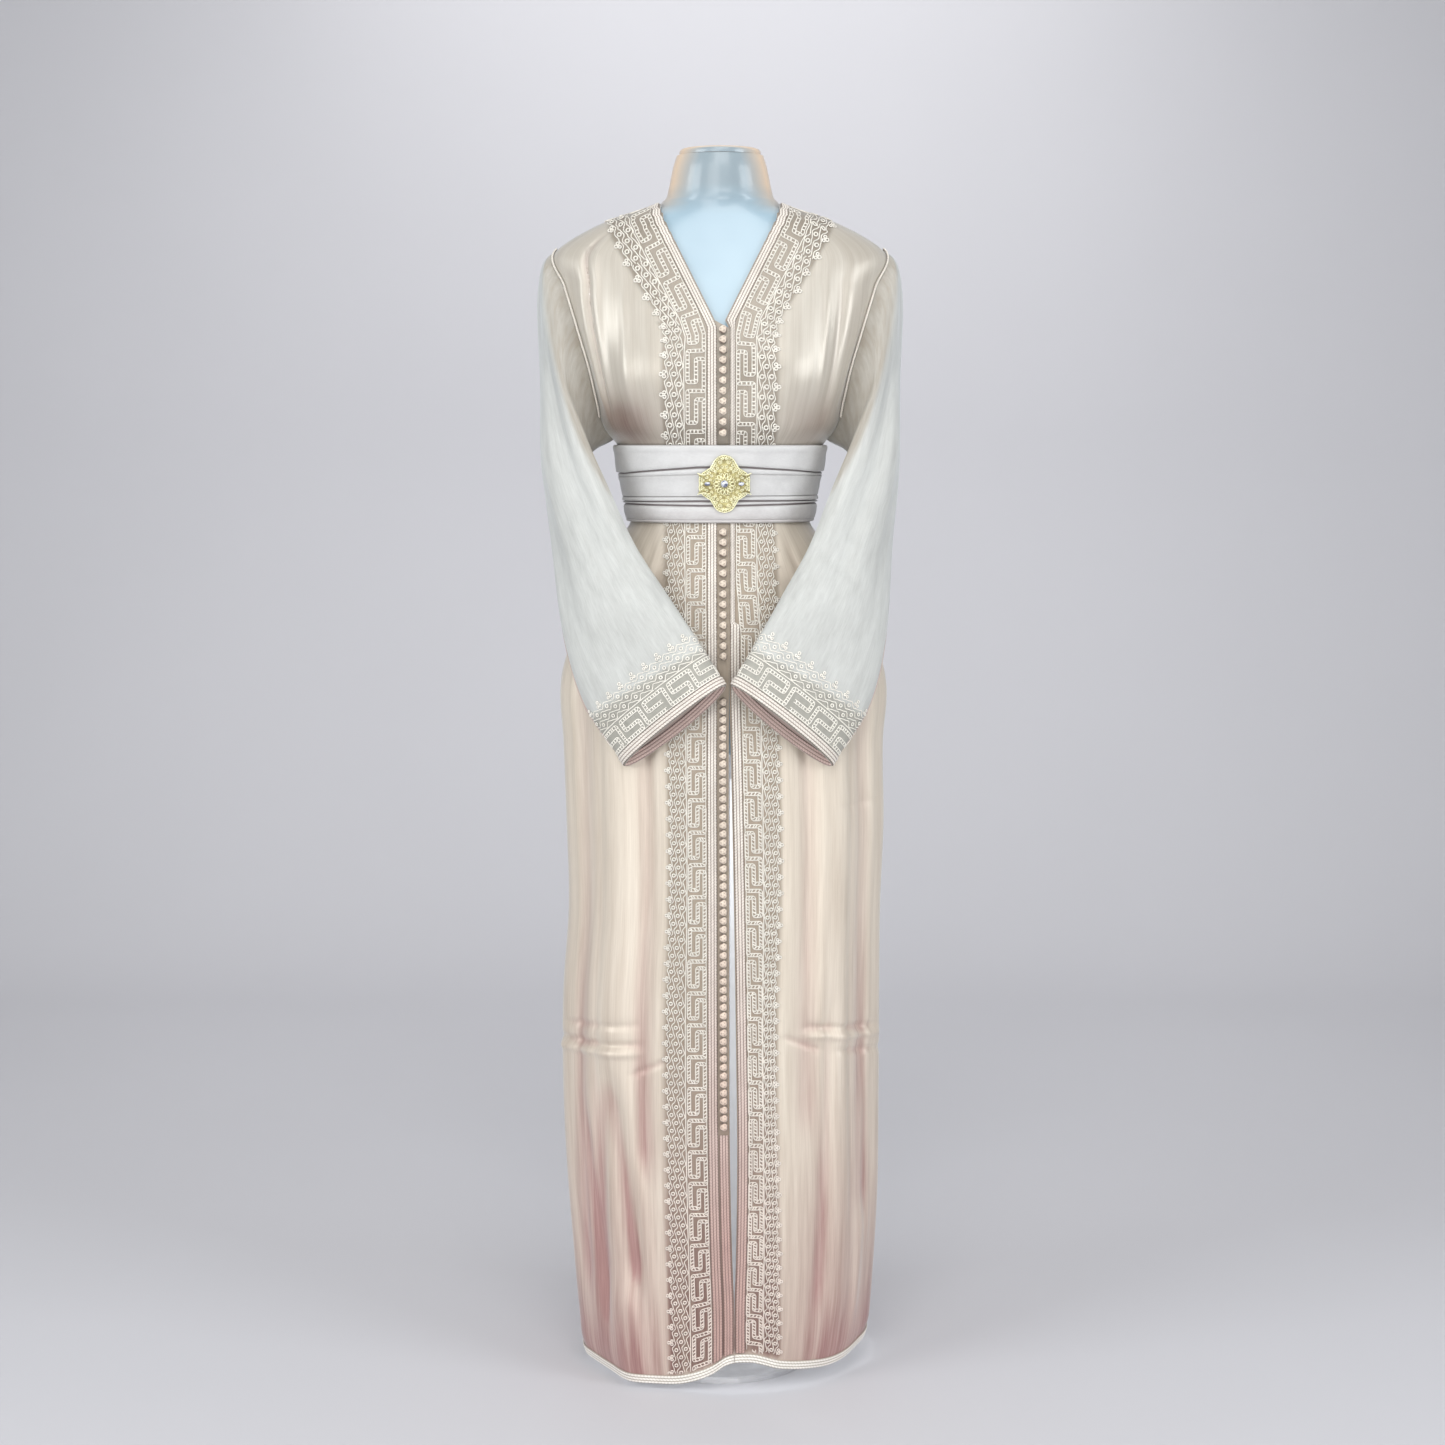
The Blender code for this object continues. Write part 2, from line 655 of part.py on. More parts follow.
def make_braids(body):
    """The sfifa: flat braid down both fronts, round the back of the neck and along the hem."""
    for name in ("front_right", "front_left"):
        points, normals, _ = body[name]
        tracks, facing = between_columns(points, normals, 1, 2)
        raised_strip("braid_" + name, tracks[:-1], facing[:-1], braid_silk(), gap=0.0006)
    points, normals, _ = body["back"]
    tracks, facing = between_columns(points.transpose(1, 0, 2), normals.transpose(1, 0, 2), 0, 1)
    raised_strip("braid_neck_back", tracks, facing, braid_silk(), gap=0.0008)
    for name, (_, normals, outer) in body.items():
        lines = [(outer[:-4:-1, i], normals[:-4:-1, i]) for i in range(outer.shape[1])]
        tracks, facing = strip_stations(lines, 0.0004, 0.0004 + BRAID_WIDTH)
        raised_strip("braid_hem_" + name, tracks, facing, braid_silk())


ButtonRun = namedtuple("ButtonRun", "name top pitch count")
BUTTON_RUNS = [
    ButtonRun("buttons_chest", 1.3060, 0.0119, 11),
    ButtonRun("buttons_waist", 1.0640, 0.0122, 13),
    ButtonRun("buttons_skirt", 0.8620, 0.0106, 50),
]
BUTTON_SIDES = 5


def button_run(run, points, normals):
    """Knotted buttons on one cord: a tube along the placket that swells at each knot."""
    middle = (points[:, 0] + points[:, 1]) / 2
    facing = (normals[:, 0] + normals[:, 1]) / 2
    heights = middle[::-1, 2]
    loops = []
    for knot in range(run.count):
        centre_z = run.top - (knot + 0.5) * run.pitch
        for drop, radius in ((run.pitch / 2, BUTTON_LOOP_RADIUS), (0.0, BUTTON_RADIUS)):
            z = centre_z + drop
            on_cloth = np.array([np.interp(z, heights, middle[::-1, i]) for i in range(3)])
            up = np.array([np.interp(z, heights, facing[::-1, i]) for i in range(3)])
            up /= np.linalg.norm(up)
            across = np.cross(up, [0.0, 0.0, 1.0])
            centre = on_cloth + up * (BUTTON_RADIUS * math.cos(math.pi / BUTTON_SIDES) + 2 * SEAM_GAP)
            turns = np.arange(BUTTON_SIDES) * 2 * math.pi / BUTTON_SIDES + math.pi / 2
            loops.append([centre + radius * (math.cos(a) * across + math.sin(a) * up) for a in turns])
    skin_round(run.name, loops, button_silk())


def skin_round(name, loops, look):
    """A rod through rings, closed at each end with a point."""
    loops = np.asarray(loops, float)
    count, around = loops.shape[:2]
    points = [tuple(p) for p in loops.reshape(-1, 3)]
    ends = [tuple(loops[0].mean(axis=0)), tuple(loops[-1].mean(axis=0))]
    faces = []
    for i in range(count - 1):
        for j in range(around):
            k = (j + 1) % around
            faces.append((i * around + j, i * around + k, (i + 1) * around + k, (i + 1) * around + j))
    last = (count - 1) * around
    for j in range(around):
        k = (j + 1) % around
        faces.append((len(points), k, j))
        faces.append((len(points) + 1, last + j, last + k))
    mesh = bpy.data.meshes.new(name)
    mesh.from_pydata(points + ends, [], faces)
    work = bmesh.new()
    work.from_mesh(mesh)
    bmesh.ops.recalc_face_normals(work, faces=work.faces)
    work.to_mesh(mesh)
    work.free()
    mesh.shade_smooth()
    mesh.set_sharp_from_angle(angle=math.radians(60))
    return add_object(name, mesh, look)


# Sleeves.


def armhole_loop(side):
    """Places round an armhole: down its front edge from the shoulder tip, up its back edge."""
    front, back = [], []
    for z in ARMHOLE_ROWS:
        reach = armhole_reach(z)
        front.append((z, 1 - reach / quarter_length(z)))
        back.append((z, 1 + reach / quarter_length(z, back=True)))
    loop = front + back[-2:0:-1]
    return [(z, side * around) for z, around in loop]


def sleeve_ring(t, side, count):
    """Plain points round the sleeve at t, column 0 on its outer face, then its front fold."""
    front, outer, back, inner = (
        through(column_of(SLEEVE, "t"), column_of(SLEEVE, name), t) for name in ("front", "outer", "back", "inner")
    )
    centre = (front + back) / 2
    ring = []
    for j in range(count):
        turn = math.pi / 2 - 2 * math.pi * j / count
        bulge = outer - centre if math.sin(turn) >= 0 else centre - inner
        ring.append(centre + math.cos(turn) * (front - centre) + math.sin(turn) * bulge)
    ring = np.array(ring) * (side, 1, 1)
    ring[:, 0] += CUFF_SHIFT * rise(t, 0.3, 1.0)
    return ring


def sleeve_crease_height(t, angle, side):
    total = 0.0
    for crease in SLEEVE_CREASES[side]:
        away = ((angle - crease.angle + 180) % 360 - 180) / crease.width
        fade = rise(t, crease.start, crease.start + 0.12) * (1 - rise(t, crease.end - 0.12, crease.end))
        total += crease.height * math.exp(-away * away) * fade
    return total


def grid_normals(grid, centre_line):
    """Normals of a tube's grid by differences, turned away from its centre line."""
    across = np.roll(grid, -1, axis=1) - np.roll(grid, 1, axis=1)
    along = np.gradient(grid, axis=0)
    found = np.cross(across, along)
    found /= np.linalg.norm(found, axis=2, keepdims=True)
    out = grid - centre_line[:, None, :]
    flip = np.sign((found * out).sum(axis=(1, 2)))
    return found * flip[:, None, None]


def make_sleeve(name, side):
    loop = armhole_loop(side)
    count = len(loop)
    seam = np.array([cloth_point(z, v) for z, v in loop])
    seam_normals = np.array([normal_of(cloth_point, z, v) for z, v in loop])
    along_seam = np.roll(seam, -1, axis=0) - np.roll(seam, 1, axis=0)
    into_hole = np.cross(seam_normals, along_seam)
    into_hole /= np.linalg.norm(into_hole, axis=1, keepdims=True)
    if (into_hole * (seam.mean(axis=0) - seam)).sum() < 0:
        into_hole = -into_hole
    start = seam + into_hole * SEAM_GAP
    residue = start - sleeve_ring(0.0, side, count)
    grid = []
    for t in SLEEVE_STATIONS:
        left_over = (1 - rise(t, 0.0, SLEEVE_SETTLES_AT)) if t > 0 else 1.0
        grid.append(sleeve_ring(t, side, count) + residue * left_over)
    grid = np.array(grid)
    normals = grid_normals(grid, grid.mean(axis=1))
    for i, t in enumerate(SLEEVE_STATIONS):
        for j in range(count):
            angle = 90 - 360 * j / count
            grid[i, j] += normals[i, j] * sleeve_crease_height(t, angle % 360, side)
    normals = grid_normals(grid, grid.mean(axis=1))
    own_normals = normals[0].copy()
    lean = np.maximum((normals[0] * into_hole).sum(axis=1, keepdims=True), 0.0)
    normals[0] -= into_hole * lean  # so that the sleeve's edge stays clear of the panels'
    normals[0] /= np.linalg.norm(normals[0], axis=1, keepdims=True)
    outer = grid.copy()
    for i, t in enumerate(SLEEVE_STATIONS):
        if t > CUFF_EMBROIDERY_FROM:
            outer[i] += normals[i] * EMBROIDERY_RELIEF
    tube(name, outer, grid - normals * WALL, sleeve_satin())
    return outer, normals, seam, seam_normals, own_normals


def make_cuff_braid(name, outer, normals):
    """A braid round the cuff, on the last stretch of the sleeve's outer face."""
    tracks, facing = [], []
    for share in (0.30, 0.62, 0.94):
        tracks.append(outer[-2] * (1 - share) + outer[-1] * share)
        facing.append(normals[-2] * (1 - share) + normals[-1] * share)
    tracks, facing = np.array(tracks), np.array(facing)
    lower = tracks + facing * 0.0006
    profile = np.array([0.7, 1.0, 0.7])[:, None, None] * BRAID_HEIGHT
    tube(name, lower + facing * profile, lower, braid_silk())


def make_seam_cord(name, seam, seam_normals, sleeve_normals, armpit_column):
    """The twisted cord in the angle of an armhole seam, from the front's armpit over the shoulder to the back's."""
    between = seam_normals + sleeve_normals
    between /= np.linalg.norm(between, axis=1, keepdims=True)
    clear = (between * seam_normals).sum(axis=1, keepdims=True)
    points = seam + between * (SEAM_CORD_RADIUS + 2 * SEAM_GAP) / clear
    order = list(range(armpit_column + 3, len(points))) + list(range(0, armpit_column - 2))
    curve = bpy.data.curves.new(name, "CURVE")
    curve.dimensions = "3D"
    curve.bevel_depth = SEAM_CORD_RADIUS
    curve.bevel_resolution = 1
    curve.use_fill_caps = True
    line = curve.splines.new("POLY")
    line.points.add(len(order) - 1)
    for point, place in zip(line.points, (points[i] for i in order)):
        point.co = (*place, 1.0)
    return add_object(name, curve, braid_silk())


def make_sleeves():
    for name, side in (("right", -1), ("left", 1)):
        outer, normals, seam, seam_normals, own_normals = make_sleeve("sleeve_" + name, side)
        make_cuff_braid("braid_cuff_" + name, outer, normals)
        make_seam_cord("cord_armhole_" + name, seam, seam_normals, own_normals, len(ARMHOLE_ROWS) - 1)


# Belt and brooch.


def belt_point(z, around, out):
    """A point that stands off the waist, which runs straight between the belt's rows."""
    heights = [BELT_BOTTOM_Z + up for up in BELT_ROWS]
    rows = np.array([smooth_point(height, around) for height in heights])
    waist = np.array([np.interp(z, heights, rows[:, i]) for i in range(3)])
    return waist + outward(z, around) * out


def make_belt():
    loops = []
    for i in range(BELT_COLUMNS):
        around = -2 + 4 * i / BELT_COLUMNS
        loop = [belt_point(BELT_BOTTOM_Z + step.up, around, step.out) for step in BELT_PLEATS]
        loop += [belt_point(BELT_BOTTOM_Z + up, around, BELT_INNER) for up in reversed(BELT_ROWS)]
        loops.append(loop)
    skin("belt", loops, belt_satin(), joined=True)


Lobe = namedtuple("Lobe", "degrees radius")
BROOCH_LOBES = [
    Lobe(0, 0.0306),
    Lobe(15, 0.0318),
    Lobe(25, 0.0302),
    Lobe(38, 0.0276),
    Lobe(50, 0.0264),
    Lobe(62, 0.0292),
    Lobe(76, 0.0336),
    Lobe(90, 0.0350),
]


def brooch_radius(turn):
    """The brooch's outline: tall round lobes above and below, smaller hooked ones at the sides."""
    degrees = abs((math.degrees(turn) + 90) % 180 - 90)
    return read(BROOCH_LOBES, "degrees", "radius", degrees)


BROOCH_SETTLES = 0.0004  # how far it leans in from those two places
BROOCH_SEATS = [(-0.034, BELT_PLEATS[2]), (0.034, BELT_PLEATS[-3])]  # where its back leans on the belt


def on_belt(x, z, out):
    """A point in front of the belt's pleats, at x and z, standing out by "out"."""
    around = length_at_x(BROOCH_Z, x) / quarter_length(BROOCH_Z)
    low, high = (belt_point(BROOCH_Z + up, around, step.out)[1] for up, step in BROOCH_SEATS)
    face = np.interp(z, [BROOCH_Z + BROOCH_SEATS[0][0], BROOCH_Z + BROOCH_SEATS[1][0]], [low, high])
    return np.array([x, face - out + BROOCH_SETTLES, z])


def medallion(name, radius_at, rings, look, centre=(BROOCH_X, BROOCH_Z), columns=24):
    """A flat ornament on the belt. rings are (share of the outline's radius, height) from the back to the front."""
    loops = []
    for share, height in rings:
        loop = []
        for j in range(columns):
            turn = 2 * math.pi * j / columns
            radius = share * radius_at(turn)
            loop.append(on_belt(centre[0] + radius * math.cos(turn), centre[1] + radius * math.sin(turn), height))
        loops.append(loop)
    return skin_round(name, loops, look)


def make_brooch():
    plate = [(0.98, 0.0010), (1.00, 0.0026), (0.93, 0.0032), (0.85, 0.0022), (0.50, 0.0040)]
    medallion("brooch_plate", brooch_radius, plate, gilt(), columns=36)
    rosette = [(0.96, 0.0044), (1.00, 0.0056), (0.60, 0.0076)]
    medallion("brooch_rosette", lambda turn: 0.0118 + 0.0014 * math.cos(8 * turn), rosette, gilt(), columns=32)
    stone = [(0.90, 0.0079), (1.00, 0.0092), (0.60, 0.0112)]
    medallion("brooch_stone", lambda turn: 0.0046, stone, crystal(), columns=10)
    small = [(0.90, 0.0044), (1.00, 0.0054), (0.60, 0.0068)]
    for name, shift in (("brooch_stone_right", -0.0205), ("brooch_stone_left", 0.0205)):
        medallion(name, lambda turn: 0.0030, small, crystal(), centre=(BROOCH_X + shift, BROOCH_Z), columns=8)


# The dress form and its stand.


FORM_COLUMNS = 28


def make_form():
    """A smooth limbless torso that carries the robe at its shoulders, bust and waist."""
    loops = []
    turns = [-2 + 4 * j / FORM_COLUMNS for j in range(FORM_COLUMNS)]
    for z in FORM_ROWS:
        inside = np.interp(z, column_of(FORM_CLEARANCE, "z"), column_of(FORM_CLEARANCE, "inside"))
        loops.append([smooth_point(z, v) - normal_of(smooth_point, z, v) * inside for v in turns])
    foot = np.array(loops[0])
    middle = foot.mean(axis=0)
    rounded = middle + (foot - middle) * 0.86 - (0.0, 0.0, 0.012)
    loops.insert(0, rounded)
    for ring in FORM_NECK:
        loop = []
        for v in turns:
            angle = v * math.pi / 2
            depth = ring.front if abs(v) < 1 else ring.back
            loop.append((ring.half_width * math.sin(angle), -depth * math.cos(angle), ring.z))
        loops.append(loop)
    skin_round("form_torso", loops, form_plastic())
    return rounded[:, 2].min()


def make_stand(torso_foot):
    """Cap, pole and base: turned pieces, each seated with a hair's gap."""
    cap_foot = FORM_NECK_TOP_Z + SEAM_GAP
    cap_top = cap_foot + CAP_THICKNESS
    cap = [(0, cap_top), (0.0440, cap_top), (0.0485, cap_top - 0.0015), (0.0500, cap_top - 0.0045), (0.0500, cap_foot), (0, cap_foot)]
    turned("form_neck_cap", cap, form_plastic(), steps=28)
    flange_top = torso_foot - SEAM_GAP
    pole_foot = BASE_THICKNESS + SEAM_GAP
    pole = [
        (0, flange_top), (FLANGE_RADIUS, flange_top), (FLANGE_RADIUS, flange_top - 0.005), (POLE_RADIUS + 0.006, flange_top - 0.008),
        (POLE_RADIUS + 0.004, flange_top - 0.040), (POLE_RADIUS, flange_top - 0.042), (POLE_RADIUS, pole_foot), (0, pole_foot),
    ]
    turned("stand_pole", pole, stand_steel(), steps=16)
    base = [(0, BASE_THICKNESS), (BASE_RADIUS - 0.002, BASE_THICKNESS), (BASE_RADIUS, BASE_THICKNESS - 0.002), (BASE_RADIUS, 0), (0, 0)]
    turned("stand_base", base, stand_steel(), steps=32)


def main():
    clear_scene()
    bpy.context.scene.collection.children.link(bpy.data.collections.new("takchita"))
    body = make_body()
    make_braids(body)
    for run in BUTTON_RUNS:
        button_run(run, *body["front_right"][:2])
    make_sleeves()
    make_belt()
    make_brooch()
    torso_foot = make_form()
    make_stand(torso_foot)


main()
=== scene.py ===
# %% [markdown]
# # A takchita on a dress form
# A takchita is a Moroccan robe for feasts. This one is champagne satin that turns rose towards the
# hem. It has corded embroidery down both fronts and round the cuffs, a long row of knotted buttons,
# flat braids along its edges and a wide pleated belt with a gilt clasp.
#
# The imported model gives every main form. This script makes each piece again at a finer scale, in the
# same place, and gives it its finish. Only the stand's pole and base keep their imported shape. All
# lengths are metres, the front faces -Y, and "left" and "right" are the wearer's.

import math

import bpy
import mathutils
import numpy as np
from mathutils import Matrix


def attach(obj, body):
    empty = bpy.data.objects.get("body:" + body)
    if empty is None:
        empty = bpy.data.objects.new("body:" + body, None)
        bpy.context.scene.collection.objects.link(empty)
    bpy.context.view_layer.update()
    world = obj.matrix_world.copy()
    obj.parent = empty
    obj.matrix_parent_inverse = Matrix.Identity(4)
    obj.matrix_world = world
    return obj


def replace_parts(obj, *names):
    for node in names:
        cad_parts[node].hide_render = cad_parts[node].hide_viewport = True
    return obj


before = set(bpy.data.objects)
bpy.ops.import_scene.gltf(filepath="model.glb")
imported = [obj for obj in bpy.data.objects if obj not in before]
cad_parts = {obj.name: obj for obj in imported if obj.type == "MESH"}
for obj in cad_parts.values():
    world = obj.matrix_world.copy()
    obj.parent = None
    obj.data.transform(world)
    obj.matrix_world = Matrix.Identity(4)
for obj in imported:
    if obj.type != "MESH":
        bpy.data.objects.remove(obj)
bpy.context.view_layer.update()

# %% [markdown]
# ## The camera
# The photograph is taken from a little above the belt, straight on, with a slight tilt down. A long
# lens keeps the robe's sides nearly upright.

# %% The camera
PHOTO_PIXELS = 1445
LENS_PIXELS = 2480
CAMERA_PLACE = (0.003, -3.1, 1.17)
CAMERA_TILT = math.radians(90 - 6.5)
SENSOR = 36.0
LENS = LENS_PIXELS / PHOTO_PIXELS * SENSOR

camera_data = bpy.data.cameras.new("photo_camera")
camera_data.sensor_width = SENSOR
camera_data.lens = LENS
camera = bpy.data.objects.new("photo_camera", camera_data)
camera.location = CAMERA_PLACE
camera.rotation_euler = (CAMERA_TILT, 0, 0)
bpy.context.scene.collection.objects.link(camera)
bpy.context.scene.camera = camera
print("lens:", round(LENS, 1), "mm")

# %% [markdown]
# ## Smooth lines through tables
# A tailor's table gives a few sizes, and the shape between them is a smooth line. These helpers read
# such tables for whole arrays of places at once.

# %% Reading tables
def through(places, values, at):
    """A smooth line through (places, values).

    Between two places the value eases from one to the other by 3t^2 - 2t^3, and the slopes at both,
    taken from their neighbours, are added with weights t(1-t)^2 and -t^2(1-t)."""
    places, values, at = (np.asarray(part, float) for part in (places, values, at))
    slopes = np.gradient(values, places, axis=0)
    i = np.clip(np.searchsorted(places, at) - 1, 0, len(places) - 2)
    step = places[i + 1] - places[i]
    t = np.clip((at - places[i]) / step, 0, 1)
    if values.ndim > 1:
        step, t = step[..., None], t[..., None]
    ease = t * t * (3 - 2 * t)
    bend = step * t * (1 - t) * ((1 - t) * slopes[i] - t * slopes[i + 1])
    return (1 - ease) * values[i] + ease * values[i + 1] + bend


def rise(value, start, end):
    """0 before start, 1 after end, and 3t^2 - 2t^3 between."""
    t = np.clip((value - start) / (end - start), 0, 1)
    return t * t * (3 - 2 * t)


def unit(vectors):
    """The same directions at length 1."""
    return vectors / np.maximum(np.linalg.norm(vectors, axis=-1, keepdims=True), 1e-12)


def circle(turn):
    """(cos, sin) of angles."""
    return np.stack([np.cos(turn), np.sin(turn)], -1)


def run_along(points):
    """Length along lines of points [station, ..., xyz], 0 at the first station."""
    steps = np.linalg.norm(np.diff(points, axis=0), axis=-1)
    return np.concatenate([np.zeros((1, *steps.shape[1:])), np.cumsum(steps, axis=0)])


def read_along(place, run, values):
    """Values [station, ...] read at places along a run, straight between two stations."""
    flat = values.reshape(len(values), -1)
    read = np.stack([np.interp(place, run, column) for column in flat.T], -1)
    return read.reshape(len(place), *values.shape[1:])


# %% [markdown]
# ## Meshes from arrays
# Every piece is a grid of points or a set of rings, so one helper puts arrays of corners into a mesh.
# Cloth is a thin wall: an outer grid, an inner grid and rims that close the gap between them.

# %% From arrays to objects
def make_piece(name, points, faces, finish, marks=None, sharp=None):
    """One object at the origin from points (n, 3) and a list of corner tables, one for each face size.

    marks are attributes of the points, and an edge bent by more than sharp degrees stays a corner."""
    faces = [table for table in faces if len(table)]
    corners = np.concatenate([table.ravel() for table in faces])
    sizes = np.concatenate([np.full(len(table), table.shape[1]) for table in faces])
    mesh = bpy.data.meshes.new(name)
    mesh.vertices.add(len(points))
    mesh.vertices.foreach_set("co", np.asarray(points, np.float32).ravel())
    mesh.loops.add(len(corners))
    mesh.loops.foreach_set("vertex_index", corners.astype(np.int32))
    mesh.polygons.add(len(sizes))
    starts = np.concatenate([[0], np.cumsum(sizes)[:-1]])
    mesh.polygons.foreach_set("loop_start", starts.astype(np.int32))
    mesh.update(calc_edges=True)
    for mark, values in (marks or {}).items():
        values = np.asarray(values, np.float32)
        kind, key = ("FLOAT", "value") if values.ndim == 1 else ("FLOAT_VECTOR", "vector")
        mesh.attributes.new(mark, kind, "POINT").data.foreach_set(key, values.ravel())
    mesh.shade_smooth()
    if sharp:
        mesh.set_sharp_from_angle(angle=math.radians(sharp))
    mesh.materials.append(finish)
    piece = bpy.data.objects.new(name, mesh)
    bpy.context.scene.collection.objects.link(piece)
    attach(piece, "root")
    print(f"{name}: {int((sizes - 2).sum())} triangles")
    return piece


def grid_quads(rows, columns, ring=False):
    """Corner numbers of a grid's quads. ring joins the last column to the first."""
    i = np.arange(rows - 1)[:, None] * columns
    j = np.arange(columns if ring else columns - 1)[None]
    k = (j + 1) % columns
    return np.stack([i + j, i + k, i + columns + k, i + columns + j], -1).reshape(-1, 4)


def wall_faces(rows, columns, ring=False):
    """Quads of an outer grid, an inner grid numbered after it, and the rims between their edges."""
    count = rows * columns
    outer = grid_quads(rows, columns, ring)
    numbers = np.arange(count).reshape(rows, columns)
    edges = [numbers[0], numbers[-1, ::-1]]
    if ring:
        edges = [np.append(edge, edge[0]) for edge in edges]
    else:
        edges += [numbers[::-1, 0], numbers[:, -1]]
    rims = [np.stack([e[1:], e[:-1], e[:-1] + count, e[1:] + count], -1) for e in edges]
    return np.concatenate([outer, outer[:, ::-1] + count] + rims)


def facing_out(points, faces, outward):
    """The same faces, turned over if the outer grid's quads look against outward, one way a point."""
    outer = faces[(faces < len(outward)).all(axis=1)]
    a, b, c, _ = (points[outer[:, k]] for k in range(4))
    looks = np.einsum("ij,ij->i", np.cross(b - a, c - a), outward[outer[:, 0]])
    return faces if looks.sum() > 0 else faces[:, ::-1]


def make_cloth(name, outer, normals, wall, finish, marks, ring=False):
    """A closed cloth wall from its outer grid [row, column, xyz]; the inner grid lies wall further in."""
    rows, columns = outer.shape[:2]
    points = np.concatenate([outer.reshape(-1, 3), (outer - normals * wall).reshape(-1, 3)])
    faces = facing_out(points, wall_faces(rows, columns, ring), normals.reshape(-1, 3))
    doubled = {}
    for mark, values in marks.items():
        values = values.reshape(rows * columns, -1)
        doubled[mark] = np.concatenate([values, values]).squeeze()
    doubled["lining"] = np.repeat([0.0, 1.0], rows * columns)
    return make_piece(name, points, [faces], finish, doubled, sharp=50)


def grid_normals(grid, ring=False):
    """Normals of a grid: the cross product of the steps to its neighbours along columns and rows."""
    if ring:
        across = np.roll(grid, -1, axis=1) - np.roll(grid, 1, axis=1)
    else:
        across = np.gradient(grid, axis=1)
    return unit(np.cross(across, np.gradient(grid, axis=0)))


def stack_faces(rows, columns):
    """Quads round a stack of rings, and a polygon over its first and its last ring."""
    caps = np.stack([np.arange(columns)[::-1], (rows - 1) * columns + np.arange(columns)])
    return [grid_quads(rows, columns, ring=True), caps]


def turned_to(points, tables, face, way):
    """The face tables, all turned over if this face looks against way."""
    a, b, c = points[face[:3]]
    return tables if np.cross(b - a, c - a) @ way >= 0 else [table[:, ::-1] for table in tables]


# %% [markdown]
# ## Cords
# The embroidery, the twisted seam cords and the clasp's wires are all round cords along a line. Each
# point of the line gets a small ring across it, and the rings of one run are joined. Four corners a
# ring are enough for a cord one millimetre thick, because smooth shading rounds it.

# %% Rings along lines
def cord_arrays(centres, ups, radii, runs, sides=4, flat=1.0):
    """Points and faces of closed cords. runs numbers the cord that each centre belongs to.

    A ring's point is radius * (cos across + flat sin lift). A run of one centre is left out."""
    _, number, count = np.unique(runs, return_inverse=True, return_counts=True)
    kept = count[number] > 1
    centres, ups, runs = centres[kept], ups[kept], runs[kept]
    radii, flat = (np.broadcast_to(part, kept.shape)[kept] for part in (radii, flat))
    joined = runs[1:] == runs[:-1]
    steps = (centres[1:] - centres[:-1]) * joined[:, None]
    along = np.zeros_like(centres)
    along[:-1] += steps
    along[1:] += steps
    along = unit(along)
    across = unit(np.cross(along, ups))
    lift = np.cross(across, along)
    turn = 2 * np.pi * np.arange(sides) / sides
    high = np.sin(turn)[:, None] * np.broadcast_to(flat, len(centres))[:, None, None]
    spokes = np.cos(turn)[:, None] * across[:, None] + high * lift[:, None]
    points = centres[:, None] + radii[:, None, None] * spokes
    i = np.flatnonzero(joined)[:, None] * sides
    j = np.arange(sides)[None]
    k = (j + 1) % sides
    body = np.stack([i + j, i + sides + j, i + sides + k, i + k], -1).reshape(-1, 4)
    first = np.flatnonzero(np.append(True, ~joined))[:, None] * sides + j
    last = np.flatnonzero(np.append(~joined, True))[:, None] * sides + j[:, ::-1]
    return points.reshape(-1, 3), body, np.concatenate([first, last])


def make_cords(name, lines, finish, sides=4, marks=None):
    """One object from a list of (centres, ups, radii, runs) or (centres, ups, radii, runs, flat).

    Its attribute "top" is 1 on a cord's upper side and 0 below. marks are functions of the points."""
    points, bodies, caps, start = [], [], [], 0
    for centres, ups, radii, runs, *flat in lines:
        ring_points, body, cap = cord_arrays(centres, ups, radii, runs, sides, *flat)
        points.append(ring_points)
        bodies.append(body + start)
        caps.append(cap + start)
        start += len(ring_points)
    points = np.concatenate(points)
    faces = [np.concatenate(bodies), np.concatenate(caps)]
    made = {mark: values(points) for mark, values in (marks or {}).items()}
    # top is 1 on a cord's upper side and 0 below; the silk paints shade by it.
    turn = 2 * np.pi * np.arange(sides) / sides
    made["top"] = np.tile(0.5 + 0.5 * np.sin(turn), len(points) // sides)
    return make_piece(name, points, faces, finish, made)


# %% [markdown]
# ## Finishes
# Satin is a smooth weave with a soft, bright sheen that runs along its folds. Here it is a fairly
# smooth surface with a little sheen, fine lengthwise crepe in the bump and slow changes of tint. The
# colour follows the cloth: an attribute called "rose" says how far each point has turned from
# champagne to dusty rose, and in the folds' hollows, below the bust, on the sleeves and at the belt's
# lower edge it also carries painted shade in the rose colours. "lay" gives places on the cloth as it
# was woven.

# %% Node helpers
def socket_name(key):
    """A shader socket's name from a word such as base_color or specular_ior_level."""
    return key.replace("_", " ").title().replace("Ior", "IOR")


def new_finish(name, **values):
    """A Principled material with these plain socket values."""
    made = bpy.data.materials.new(name)
    made.use_nodes = True
    shader = made.node_tree.nodes["Principled BSDF"]
    for key, value in values.items():
        shader.inputs[socket_name(key)].default_value = value
    return made, made.node_tree, shader


def feed(tree, shader, **outputs):
    """Joins other nodes' outputs to the shader's sockets."""
    for key, output in outputs.items():
        tree.links.new(output, shader.inputs[socket_name(key)])


def add(tree, kind, sockets=None, **settings):
    """One node. sockets gives plain values or other nodes' outputs, by name or number."""
    made = tree.nodes.new("ShaderNode" + kind)
    for key, value in settings.items():
        setattr(made, key, value)
    for key, value in (sockets or {}).items():
        if isinstance(value, bpy.types.NodeSocket):
            tree.links.new(value, made.inputs[key])
        else:
            made.inputs[key].default_value = value
    return made


def mix(tree, share, first, second, blend="MIX"):
    """A colour between two, or one laid on the other."""
    made = add(tree, "Mix", {0: share, 6: first, 7: second}, data_type="RGBA", blend_type=blend)
    return made.outputs[2]


